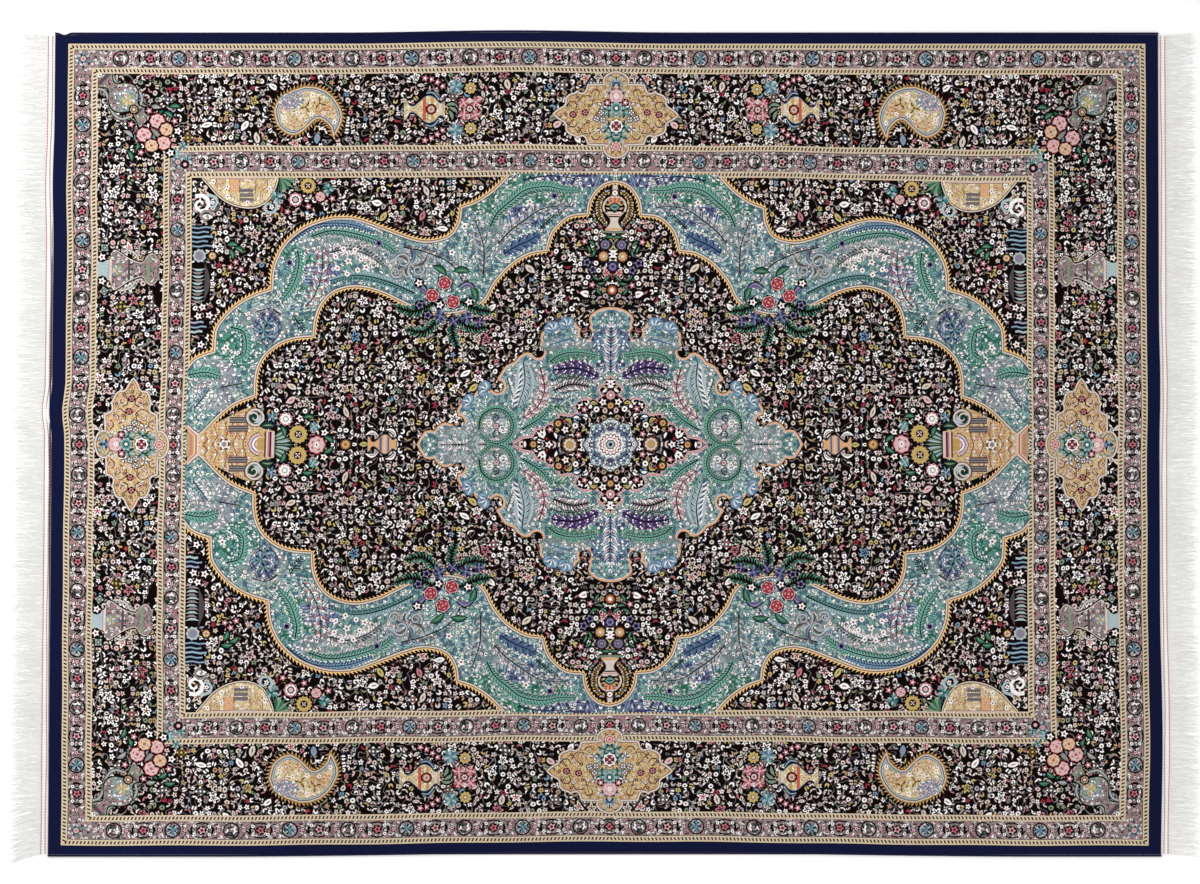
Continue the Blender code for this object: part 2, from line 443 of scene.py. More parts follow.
def cut_quarter(cartoon: Cartoon, cuts: Sequence[Sequence[complex]], grid: float = 14.0) -> Quarter:
    """Cuts the painted quarter into triangles, each of the colour that shows there.

    Args:
        cartoon: the painted shapes.
        cuts: straight lines that no triangle may cross, as pairs of places.
        grid: how far apart the places are that every ground has besides, to follow the floor.

    Returns:
        The quarter's places and triangles, with the colour and zone of each triangle.
    """
    corners = [Vector((c.real, c.imag)) for c in cartoon.corners]
    first = len(corners)
    corners += [Vector((c.real, c.imag)) for cut in cuts for c in cut]
    edges = [(first + 2 * i, first + 2 * i + 1) for i in range(len(cuts))]
    columns, rows = (np.arange(0.0, half - GRID_MARGIN, grid) for half in (HALF_U, BODY_HALF_V))
    corners += [Vector((u + GRID_START[0], v + GRID_START[1])) for u in columns for v in rows]
    places, _, triangles, _, _, owners = delaunay_2d_cdt(corners, edges, cartoon.faces, 1, 1e-4, True)
    flat = np.array([place[:] for place in places])
    spots = flat[:, 0] + 1j * flat[:, 1]
    spilt = spilt_faces(cartoon, spots[np.array(triangles)], owners)
    dyes, zones, kept = [], [], []
    for triangle, over in zip(triangles, owners):
        sound = sorted((face for face in over if face not in spilt), reverse=True)
        ground = next((face for face in sound if cartoon.grounds[face]), None)
        if ground is None:
            continue
        zone = cartoon.zones[ground]
        shown = next(face for face in sound if cartoon.zones[face] & zone)
        kept.append(triangle)
        dyes.append(cartoon.dyes[shown])
        zones.append(zone)
    return Quarter(spots, np.array(kept), np.array(dyes), np.array(zones))


# ---------------------------------------------------------------- small motifs


@dataclass(frozen=True)
class Ring:
    """A round floret with a dark or bright heart."""

    radius: float = 2.7
    petal: Dye = Dye.CREAM
    heart: Dye = Dye.CRIMSON

    def paint(self, cartoon: Cartoon, zone: Zone, at: complex, turn: float) -> None:
        """Paints it at a place."""
        cartoon.paint(disc(self.radius, 8), self.petal, zone, at, turn)
        cartoon.paint(disc(self.radius * 0.42, 5), self.heart, zone, at, turn)


@dataclass(frozen=True)
class Blossom:
    """A floret of pointed petals with a heart."""

    radius: float = 3.4
    petals: int = 4
    petal: Dye = Dye.IVORY
    heart: Dye = Dye.CRIMSON

    def paint(self, cartoon: Cartoon, zone: Zone, at: complex, turn: float) -> None:
        """Paints it at a place."""
        cartoon.paint(star(self.radius, self.radius * 0.52, self.petals), self.petal, zone, at, turn)
        cartoon.paint(disc(self.radius * 0.32, 5), self.heart, zone, at, turn)


@dataclass(frozen=True)
class Leaf:
    """A single leaf or bud, its middle at its place, with a vein where that has a colour."""

    radius: float = 3.2
    width: float = 3.2
    bend: float = 0.0
    dye: Dye = Dye.CREAM
    vein: Dye | None = None

    def paint(self, cartoon: Cartoon, zone: Zone, at: complex, turn: float) -> None:
        """Paints it with its middle at a place."""
        length = 2 * self.radius
        cartoon.paint(leaf(length, self.width, self.bend, 4) - self.radius, self.dye, zone, at, turn)
        if self.vein:
            vein = leaf(length * 0.8, self.width * 0.26, self.bend, 3) - self.radius * 0.9
            cartoon.paint(vein, self.vein, zone, at, turn)


@dataclass(frozen=True)
class Tulip:
    """A bud of three petals that spread from its stalk."""

    radius: float = 2.7
    dye: Dye = Dye.BLUSH
    heart: Dye = Dye.CRIMSON

    def paint(self, cartoon: Cartoon, zone: Zone, at: complex, turn: float) -> None:
        """Paints it with its middle at a place."""
        side = np.array([-1.0, -0.2 - 0.84j, 1.0 - 0.92j, 0.4 - 0.28j, 1.24])
        cartoon.paint(np.concatenate([side, np.conj(side[-2:0:-1])]) * self.radius, self.dye, zone, at, turn)
        cartoon.paint(disc(self.radius * 0.3, 4), self.heart, zone, at, turn)


@dataclass(frozen=True)
class Checker:
    """A lozenge of nine small knots of colour."""

    radius: float = 4.0
    dye: Dye = Dye.IVORY
    heart: Dye = Dye.CORAL

    def paint(self, cartoon: Cartoon, zone: Zone, at: complex, turn: float) -> None:
        """Paints it at a place."""
        pitch = self.radius * 0.54
        for i in (-1, 0, 1):
            for j in (-1, 0, 1):
                dye = self.heart if (i + j) % 2 else self.dye
                place = at + pitch * complex(i, j) * np.exp(1j * turn)
                cartoon.paint(disc(pitch * 0.56, 4), dye, zone, place, turn)


@dataclass(frozen=True)
class Rosette:
    """A large flower: rings of petals, from the outside in."""

    radius: float
    petals: int
    dyes: tuple[Dye, ...]
    depth: float = 0.84

    def paint(self, cartoon: Cartoon, zone: Zone, at: complex, turn: float = 0.0) -> None:
        """Paints it at a place."""
        count = len(self.dyes)
        for k, dye in enumerate(self.dyes):
            radius = self.radius * (1.0 - 0.92 * k / count)
            if k == count - 1:
                cartoon.paint(disc(radius, 8), dye, zone, at, turn)
            else:
                cartoon.paint(star(radius, radius * self.depth, self.petals), dye, zone, at, turn + k * 0.3)


@dataclass(frozen=True)
class Rose:
    """A full rose seen from above: a scalloped head whose petals are parted by darker folds."""

    radius: float
    petal: Dye = Dye.BLUSH
    fold: Dye = Dye.CRIMSON
    heart: Dye = Dye.ROSE

    def paint(self, cartoon: Cartoon, zone: Zone, at: complex, turn: float = 0.0) -> None:
        """Paints it at a place."""
        r = self.radius
        cartoon.paint(star(r, r * 0.86, 8), self.fold, zone, at, turn)
        cartoon.paint(star(r * 0.94, r * 0.8, 8), self.petal, zone, at, turn)
        for size, count, spread in ((0.76, 6, 0.64), (0.5, 4, 0.34)):
            for k, spot in enumerate(round_about(r * spread, count, turn + size)):
                heading = turn + size + 2 * math.pi * k / count + math.pi / 2
                bowl = leaf(r * size, r * 0.16, -0.42, 4) - r * size / 2
                cartoon.paint(bowl, self.fold, zone, at + spot, heading)
        cartoon.paint(disc(r * 0.26, 6), self.heart, zone, at, turn)
        cartoon.paint(disc(r * 0.12, 4), self.fold, zone, at, turn)


@dataclass(frozen=True)
class Frond:
    """A clump of narrow bent leaves that spread from its middle, in turns of several colours."""

    radius: float
    dyes: tuple[Dye, ...]
    leaves: int = 13

    def paint(self, cartoon: Cartoon, zone: Zone, at: complex, turn: float = 0.0) -> None:
        """Paints it at a place."""
        for k in range(self.leaves):
            reach = self.radius * (1.0 if k % 2 else 0.76)
            blade = leaf(reach, self.radius * 0.27, 0.12, 3)
            heading = turn + 2 * math.pi * k / self.leaves
            cartoon.paint(blade, self.dyes[k % len(self.dyes)], zone, at, heading)
        cartoon.paint(disc(self.radius * 0.17, 5), self.dyes[-1], zone, at, turn)


Flower = Ring | Blossom | Leaf | Tulip | Checker | Rosette | Rose | Frond


@dataclass(frozen=True)
class Bouquet:
    """Flowers that belong together: rows of a flower and every place where it stands."""

    rows: tuple[tuple[Flower, tuple[complex, ...]], ...]
    halo: float = 1.3

    def paint(self, cartoon: Cartoon, zone: Zone, at: complex = 0j, turn: float = 0.0) -> None:
        """Paints every flower, each on a dark spot where there is a halo."""
        heading = np.exp(1j * turn)
        for flower, places in self.rows:
            reach = flower.radius + self.halo
            halo = disc(reach, 9)
            if isinstance(flower, Leaf):
                halo = leaf(2 * reach + 1, flower.width + 2.4 * self.halo, flower.bend, 4) - reach - 0.5
            for k, place in enumerate(places):
                if self.halo and not isinstance(flower, Frond):
                    cartoon.paint(halo, Dye.COAL, zone, at + place * heading, turn + 0.6 * k)
                flower.paint(cartoon, zone, at + place * heading, turn + 0.6 * k)


@dataclass(frozen=True)
class Plume:
    """A feathery branch: a spine with barbs or rows of berries on both sides, and beads at their tips."""

    barb: float
    dyes: tuple[Dye, ...]
    spine: Dye = Dye.SPRUCE
    bead: Dye | None = None
    pitch: float = 2.7
    width: float = 1.5
    slant: float = 0.8
    halo: Dye | None = None
    berries: int = 0

    def paint(self, cartoon: Cartoon, zone: Zone, route: Sequence[complex]) -> None:
        """Paints it along a smooth route through the given places."""
        curve = smooth(route, 4)
        if self.halo:
            swell = 0.3 + 0.7 * np.sin(np.pi * np.linspace(0.06, 0.97, len(curve)))
            cartoon.paint(ribbon(curve, self.barb * 1.5 * swell), self.halo, zone)
        places, headings = spaced(curve, self.pitch)
        for k, (place, heading) in enumerate(zip(places, headings)):
            swell = 0.45 + 0.55 * math.sin(math.pi * min((k + 1.0) / (len(places) + 0.5), 0.999))
            for side in (-1, 1):
                reach = self.barb * swell * (1.0 if (k + (side > 0)) % 2 else 0.78)
                aim = heading + side * self.slant
                start = place + 0.5j * side * np.exp(1j * heading)
                dye = self.dyes[(2 * k + (side > 0)) % len(self.dyes)]
                for j in range(self.berries):
                    spot = start + reach * (j + 0.7) / self.berries * np.exp(1j * aim)
                    cartoon.paint(disc(self.width / 2, 5), self.dyes[(k + j) % len(self.dyes)], zone, spot)
                if not self.berries:
                    cartoon.paint(leaf(reach, self.width, 0.12 * side, 2), dye, zone, start, aim)
                if self.bead:
                    tip = start + (reach + 0.4) * np.exp(1j * aim)
                    cartoon.paint(disc(0.95, 4), self.bead, zone, tip, aim)
        cartoon.paint(ribbon(curve, np.linspace(1.4, 0.8, len(curve))), self.spine, zone)


@dataclass(frozen=True)
class Trim:
    """The edging of a zone: a light line between two dark ones, and slanting teeth on dark."""

    line: float = 1.6
    gap: float = 0.8
    cord: float = 1.0
    tooth: float = 3.3
    pitch: float = 4.0

    def paint(self, cartoon: Cartoon, zone: Zone, route: Shape, side: float) -> None:
        """Paints it along a route, with the teeth on its left for side 1, or on its right for -1."""
        edge, foot = self.line / 2, self.line / 2 + self.gap + self.cord
        dark = np.concatenate([route, beside(route, side * (foot + self.tooth + 0.7))[::-1]])
        cartoon.paint(dark, Dye.COAL, zone)
        tooth = np.array([-0.46, 0.42, 0.72 + 1.0j]) * self.tooth
        tooth = tooth if side > 0 else np.conj(tooth)
        for place, heading in zip(*spaced(beside(route, side * foot), self.pitch)):
            cartoon.paint(tooth, Dye.WHEAT, zone, place - 0.4j * side * np.exp(1j * heading), heading)
        for off, width, dye in (
            (foot - self.cord / 2, self.cord, Dye.WHEAT), (edge + self.gap / 2, self.gap, Dye.BROWN),
            (-edge - 0.4, 0.8, Dye.SMOKE), (0.0, self.line, Dye.CREAM),
        ):
            cartoon.line(beside(route, side * off), zone, ((width, dye),))


@dataclass(frozen=True)
class Vase:
    """A turned vessel, drawn from its profile: rows of (height, half width) as shares of its height."""

    height: float
    profile: tuple[tuple[float, float], ...]
    body: Dye
    rim: Dye
    bands: tuple[tuple[float, float, Dye], ...] = ()

    def paint(self, cartoon: Cartoon, zone: Zone, foot: complex, turn: float) -> None:
        """Paints it standing on its foot, growing the way that turn says."""
        rows = smooth([complex(h, w) for h, w in self.profile], 3) * self.height
        for by, dye in ((2.4j, Dye.COAL), (0.9j, self.rim), (0j, self.body)):
            cartoon.paint(np.concatenate([np.conj(rows + by), (rows + by)[::-1]]), dye, zone, foot, turn)
        for low, high, dye in self.bands:
            at = np.array([low, (low + high) / 2, high]) * self.height
            half = np.interp(at, rows.real, rows.imag) * 0.96
            cartoon.paint(np.concatenate([at - 1j * half, (at + 1j * half)[::-1]]), dye, zone, foot, turn)


def paint_patches(cartoon: Cartoon, zone: Zone, rows: Sequence[tuple[complex, complex, Dye]]) -> None:
    """Paints ovals of another ground, each a place, its two half widths and its dye."""
    for at, reach, dye in rows:
        cartoon.paint(stretched(disc(1.0, 12), reach), dye, zone, at)


def both(*places: complex) -> tuple[complex, ...]:
    """Places and their mirror images on the other side of the upright axis."""
    return tuple(image for place in places for image in (place, -place.conjugate()))


DAISY = Rosette(6.2, 9, (Dye.STRAW, Dye.GOLD, Dye.STRAW, Dye.BROWN, Dye.CREAM), 0.78)
GILT_ROSETTE = Rosette(4.6, 8, (Dye.BROWN, Dye.STRAW, Dye.CREAM, Dye.CORAL))
TEAL_PALMETTE = Frond(9.4, (Dye.STEEL, Dye.TEAL, Dye.MIST, Dye.TEAL), 15)
STAR_FLOWER = Rosette(4.6, 5, (Dye.LAVENDER, Dye.PLUM, Dye.MIDNIGHT), 0.6)
PINK_FLORET = Blossom(3.8, 5, Dye.ROSE, Dye.IVORY)
WHITE_FLORET = Blossom(4.2, 5, Dye.IVORY, Dye.CRIMSON)
GREEN_LEAF = Leaf(5.5, 4.2, 0.12, Dye.GREEN, Dye.SAGE)
GREY_LEAF = Leaf(6.0, 4.6, 0.12, Dye.GREY, Dye.MIST)
BUD = Leaf(4.0, 3.6, 0.0, Dye.CREAM, Dye.GREY)
GREY_LEAVES = (Dye.IVORY, Dye.SMOKE, Dye.SPRUCE, Dye.IVORY)
BLUE_LEAVES = (Dye.STEEL, Dye.MIST, Dye.NAVY, Dye.TEAL)


# ---------------------------------------------------------------- the borders


@dataclass(frozen=True)
class BorderLayout:
    """Where the border's lines run, as half sizes of rectangles round the middle, in squares."""

    edge: tuple[float, float] = (HALF_U, BODY_HALF_V)
    outer_guard: tuple[float, float] = (541.2, 399.5)
    outer_guard_in: tuple[float, float] = (511.7, 369.0)
    inner_guard: tuple[float, float] = (447.7, 297.0)
    inner_guard_in: tuple[float, float] = (419.7, 265.0)


@dataclass
class RopeLine:
    """A line of slanting dark dashes between two light cords."""

    half: tuple[float, float]
    zone: Zone
    width: float = 6.0
    pitch: float = 3.7

    def paint(self, cartoon: Cartoon) -> None:
        """Paints it just inside the rectangle of its half sizes."""
        u, v = self.half
        for share, dye in ((0.0, Dye.CORD), (1.0, Dye.SMOKE)):
            cartoon.paint(frame_shape(u - share * self.width, v - share * self.width), dye, self.zone)
        depth = 0.5 * self.width
        dash = np.array([-1.35 - 1.5j, 0.25 - 1.5j, 1.35 + 1.5j, -0.25 + 1.5j])
        corner = complex(u - depth, v - depth)
        for start in (1j * corner.imag, corner.real + 0j):
            run = corner - start
            count = int(abs(run) / self.pitch)
            for k in range(count):
                place = start + run * (k + 0.5) / count
                cartoon.paint(dash * run / abs(run), Dye.WINE if k % 4 == 1 else Dye.COAL, self.zone, place)


@dataclass
class Guard:
    """A narrow border of wreaths and rosettes between two rope lines."""

    half: tuple[float, float]
    half_in: tuple[float, float]
    zone: Zone
    rope: float = 6.0
    cell: float = 29.0

    def paint(self, cartoon: Cartoon) -> None:
        """Paints the ground, the run of wreaths along both sides, and the rope lines."""
        cartoon.ground(frame_shape(*self.half), Dye.GREY, self.zone)
        RopeLine(self.half, self.zone, self.rope).paint(cartoon)
        outer = self.half[0] - self.rope, self.half[1] - self.rope
        inner = self.half_in[0] + self.rope, self.half_in[1] + self.rope
        cartoon.paint(frame_shape(*outer), Dye.SMOKE, self.zone)
        cartoon.paint(frame_shape(outer[0] - 0.7, outer[1] - 0.7), Dye.SCROLLS, self.zone)
        middle = (outer[0] + inner[0]) / 2 + 1j * (outer[1] + inner[1]) / 2
        depth = min(outer[0] - inner[0], outer[1] - inner[1]) / 2 - 0.6
        for start in (1j * middle.imag, middle.real + 0j):
            length = abs(middle - start) - depth
            heading = (middle - start) / abs(middle - start)
            count = round(length / self.cell)
            for k in range(count):
                self._wreath(cartoon, start + heading * length * k / count, heading, depth, k)
        Frond(depth, BLUE_LEAVES).paint(cartoon, self.zone, middle)
        Rosette(depth * 0.5, 7, (Dye.SMOKE, Dye.BLUSH, Dye.ROSE)).paint(cartoon, self.zone, middle)
        RopeLine(inner, self.zone, self.rope).paint(cartoon)

    def _wreath(self, cartoon: Cartoon, at: complex, heading: complex, depth: float, index: int) -> None:
        """Paints one cell of the run and the bud after it.

        Args:
            cartoon: the cartoon.
            at: the cell's middle.
            heading: which way the guard runs, as a step of length 1.
            depth: half the width of the run.
            index: the cell's number. An even one has a rosette between scrolls, an odd one a ring of leaves.
        """
        turn = np.angle(heading)
        oval = index % 2 == 0
        stretch = 1.42 if oval else 1.0
        for size, dye in ((1.02, Dye.COAL), (0.84, Dye.SCROLLS)):
            cartoon.paint(stretched(disc(depth * size, 14), stretch + 1j), dye, self.zone, at, turn)
        if oval:
            for side in (-1, 1):
                spot = at + side * heading * 8.2
                cartoon.paint(scroll(depth * 0.62, 1.3 * side, 1.5, 11), Dye.COAL, self.zone, spot, turn)
                for lift in (-0.52, 0.52):
                    ring = at + heading * (side * 7.4 + 1j * lift * depth)
                    Ring(1.8, Dye.IVORY, Dye.COAL).paint(cartoon, self.zone, ring, turn)
            cartoon.paint(disc(4.8, 8), Dye.COAL, self.zone, at)
            petal = (Dye.ROSE, Dye.BLUSH)[index // 2 % 2]
            Blossom(4.2, 5, petal, Dye.CRIMSON).paint(cartoon, self.zone, at, turn)
            Ring(1.8, Dye.CRIMSON, Dye.WINE).paint(cartoon, self.zone, at, turn)
        else:
            cartoon.paint(scroll(depth * 0.74, 1.4, 1.7, 13), Dye.COAL, self.zone, at, turn + index)
            if index % 4 == 3:
                Frond(depth * 0.86, BLUE_LEAVES, 15).paint(cartoon, self.zone, at, turn)
            else:
                for k, spot in enumerate(round_about(depth * 0.58, 7, turn)):
                    blade = Leaf(2.9, 2.1, 0.2, GREY_LEAVES[k % 4])
                    blade.paint(cartoon, self.zone, at + spot, turn + 0.9 * k + 1.2)
        bud = at + heading * self.cell * (0.57 if oval else 0.43)
        for lift in (-0.62, 0.62):
            for k, spot in enumerate(round_about(2.6, 3, turn + lift)):
                blade = Leaf(2.2, 1.6, 0.2, (Dye.COAL, Dye.IVORY, Dye.ROSE)[k])
                blade.paint(cartoon, self.zone, bud + heading * 1j * lift * depth + spot, turn + 2.1 * k)
        cartoon.paint(disc(3.0, 6), Dye.COAL, self.zone, bud)
        Blossom(2.7, 5, Dye.BLUSH, Dye.CRIMSON).paint(cartoon, self.zone, bud, turn)


@dataclass
class Cartouche:
    """The gold cartouche in the middle of a side of the main border."""

    centre: complex
    turn: float
    stretch: complex
    petal: Dye
    arcs = (
        (62, 57.7 + 3.9j, 51.7 + 7.3j),
        (51.7 + 7.3j, 49.5 + 10.8j, 49.5 + 15j, 46.5 + 18.9j, 40.5 + 21j, 38.8 + 23.2j),
        (38.8 + 23.2j, 37.5 + 21.5j, 32.7 + 20.6j, 29.7 + 23.6j, 28 + 28.8j),
        (28 + 28.8j, 26.7 + 29.5j, 11.3 + 29.8j),
        (11.3 + 29.8j, 12.3 + 34j, 9.5 + 39j, 4 + 42j, 42.6j),
    )
    flowers = (
        (Leaf(6.5, 5.0, 0.1, Dye.TEAL, Dye.SAGE), both(6 - 1j, 4 - 22j)),
        (Frond(8.4, (Dye.TEAL, Dye.MIST, Dye.SAGE, Dye.SPRUCE)), both(8 - 13j, 7.5 + 4j, 5 - 22j)),
        (Frond(5.2, (Dye.GREY, Dye.IVORY, Dye.SMOKE)), both(14 + 9j, 15.5 - 15j)),
        (Checker(3.4, Dye.GREY, Dye.IVORY), both(15 + 2j, 20 - 4j, 13.5 - 5j)),
        (Frond(7.0, (Dye.STEEL, Dye.SKY, Dye.MIST, Dye.NAVY)), (32j,)),
        (Leaf(3.0, 2.2, 0.2, Dye.MIST, Dye.SAGE), both(5 + 37j, 8 + 31j, 7.5 + 25j)),
        (Rose(8.0, Dye.BLUSH, Dye.ROSE, Dye.IVORY), (18.6j,)),
        (Rosette(6.6, 9, (Dye.MIST, Dye.TEAL, Dye.LAGOON, Dye.COAL, Dye.IVORY)), (6.5j,)),
        (Ring(1.5, Dye.IVORY, Dye.BROWN), both(10.5 + 19j, 11.5 + 23j, 22 + 9j)),
        (Rosette(7.2, 8, (Dye.IVORY, Dye.ROSE)), (-11.5j,)),
        (Checker(4.8, Dye.BLUSH, Dye.CRIMSON), (-11.5j,)),
        (Frond(6.0, (Dye.CREAM, Dye.GREY, Dye.SAND)), both(7 - 31j)),
        (Rosette(5.6, 8, (Dye.CREAM, Dye.CORAL, Dye.BLUSH, Dye.ROSE)), (-32j,)),
        (PINK_FLORET, both(9 + 12j)),
        (Blossom(3.4, 5, Dye.ROSE, Dye.BROWN), both(43, 31 + 2j)),
        (Leaf(3.0, 2.4, 0.2, Dye.CREAM, Dye.CORAL), both(36 + 11j, 36 - 11j, 25 + 17j, 25 - 15j)),
        (Ring(1.4, Dye.BROWN, Dye.CREAM), both(50, 47 + 9j, 47 - 9j, 27 + 9j, 28 - 7j, 38 + 17j, 38 - 17j)),
    )

    def paint(self, cartoon: Cartoon) -> None:
        """Paints its edging, its gold scrolls and the column of flowers across its middle."""
        zone = Zone.BORDER | Zone.INNER_GUARD | Zone.OUTER_GUARD
        heading = np.exp(1j * self.turn)
        quarter = scallops(self.arcs, 2)
        upper = np.concatenate([quarter, -np.conj(quarter[-2::-1])])
        whole = np.concatenate([upper, np.conj(upper[-2:0:-1])])
        whole = stretched(whole, self.stretch) * heading
        edging = ((1.8, Dye.COAL), (1.2, Dye.CREAM), (-0.6, Dye.BROWN), (-1.2, Dye.GILT))
        cartoon.layers(whole, zone, edging, self.centre)
        for side, lift in ((-1, -1), (-1, 1), (1, -1), (1, 1)):
            for place, radius, dye in (
                (29 + 12j, 9, Dye.BROWN), (43 + 8j, 6, Dye.COAL), (20 + 21j, 5, Dye.BROWN),
            ):
                spot = self.centre + complex(side * place.real, lift * place.imag) * heading
                cartoon.paint(scroll(radius, 1.2 * side * lift, 1.3), dye, zone, spot, self.turn)
                light = scroll(radius * 0.75, -side * lift, 1.2)
                cartoon.paint(light, self.petal, zone, spot, self.turn + 1)
        rows = tuple(
            (flower, tuple(stretched(np.array(places), self.stretch))) for flower, places in self.flowers
        )
        Bouquet(rows, 0.3).paint(cartoon, zone, self.centre, self.turn)


@dataclass
class Paisley:
    """The large paisley of the main border, with a toothed gold rim."""

    centre: complex = 306 + 333j
    outline = (
        32 - 1j, 25 + 13j, 1 + 24.2j, -20 + 20j, -32 + 7j, -37 - 6j, -34.5 - 17j, -28 - 27.5j,
        -25.5 - 18j, -18 - 10.5j, -11 - 9j, -4 - 15.5j, 2 - 21j, 10.5 - 25.5j, 20 - 23j, 28.5 - 15j,
    )
    flowers = (
        (Checker(3.6, Dye.LAVENDER, Dye.BLUSH), (23 + 3j, 18 + 9j, 12 + 14j, 5 + 17j, 16 + 1j, 10 + 7j)),
        (Frond(7.0, (Dye.STRAW, Dye.CREAM, Dye.GOLD, Dye.BROWN)), (-14 + 7j, 0 + 3j)),
        (Frond(5.2, (Dye.CREAM, Dye.CORAL, Dye.STRAW)), (-25 - 2j, 13 - 14j, 3 - 12j)),
        (Blossom(3.0, 5, Dye.IVORY, Dye.CORAL), (-7 + 15j, 21 - 8j, -18 - 3j, -29 - 12j, 8 - 3j, -6 - 4j)),
        (Leaf(3.0, 1.8, 0.2, Dye.SAGE, Dye.IVORY), (7 - 18j, 24 - 5j, -21 + 13j, -30 - 5j, -2 + 11j)),
    )

    def paint(self, cartoon: Cartoon) -> None:
        """Paints the rim, its teeth and a filling of flowers."""
        zone = Zone.BORDER
        curve = smooth(np.append(self.outline, self.outline[0]), 2)
        rim = curve[:-1] + self.centre
        cartoon.paint(grown(rim, 4.4), Dye.COAL, zone)
        places, headings = spaced(np.append(rim, rim[0]), 3.6)
        tooth = np.array([-1.6 + 0.8j, 1.6 + 0.8j, 2.3 - 4.0j])
        for k, (place, heading) in enumerate(zip(places, headings)):
            cartoon.paint(tooth, Dye.GOLD if k % 2 else Dye.APRICOT, zone, place, heading)
        cartoon.layers(rim, zone, (
            (0.6, Dye.BROWN), (0.0, Dye.GOLD), (-1.0, Dye.CREAM), (-2.0, Dye.SMOKE), (-3.0, Dye.MIST),
            (-4.2, Dye.GREY), (-5.0, Dye.PALE_GILT),
        ))
        paint_patches(cartoon, zone, (
            (self.centre - 17 + 3j, 11 + 9j, Dye.GILT), (self.centre + 14 + 9j, 13 + 8j, Dye.PALE_MEADOW),
            (self.centre + 9 - 14j, 10 + 5j, Dye.GILT),
        ))
        Bouquet(self.flowers, 0.0).paint(cartoon, zone, self.centre)


ROUND_VASE = (
    (0.0, 0.26), (0.06, 0.24), (0.13, 0.09), (0.24, 0.07), (0.36, 0.16), (0.50, 0.29), (0.62, 0.33),
    (0.76, 0.27), (0.88, 0.14), (1.0, 0.20),
)
SLIM_VASE = (
    (0.0, 0.16), (0.10, 0.13), (0.22, 0.16), (0.27, 0.30), (0.36, 0.28), (0.52, 0.17), (0.72, 0.10),
    (0.80, 0.20), (0.90, 0.24), (1.0, 0.12),
)


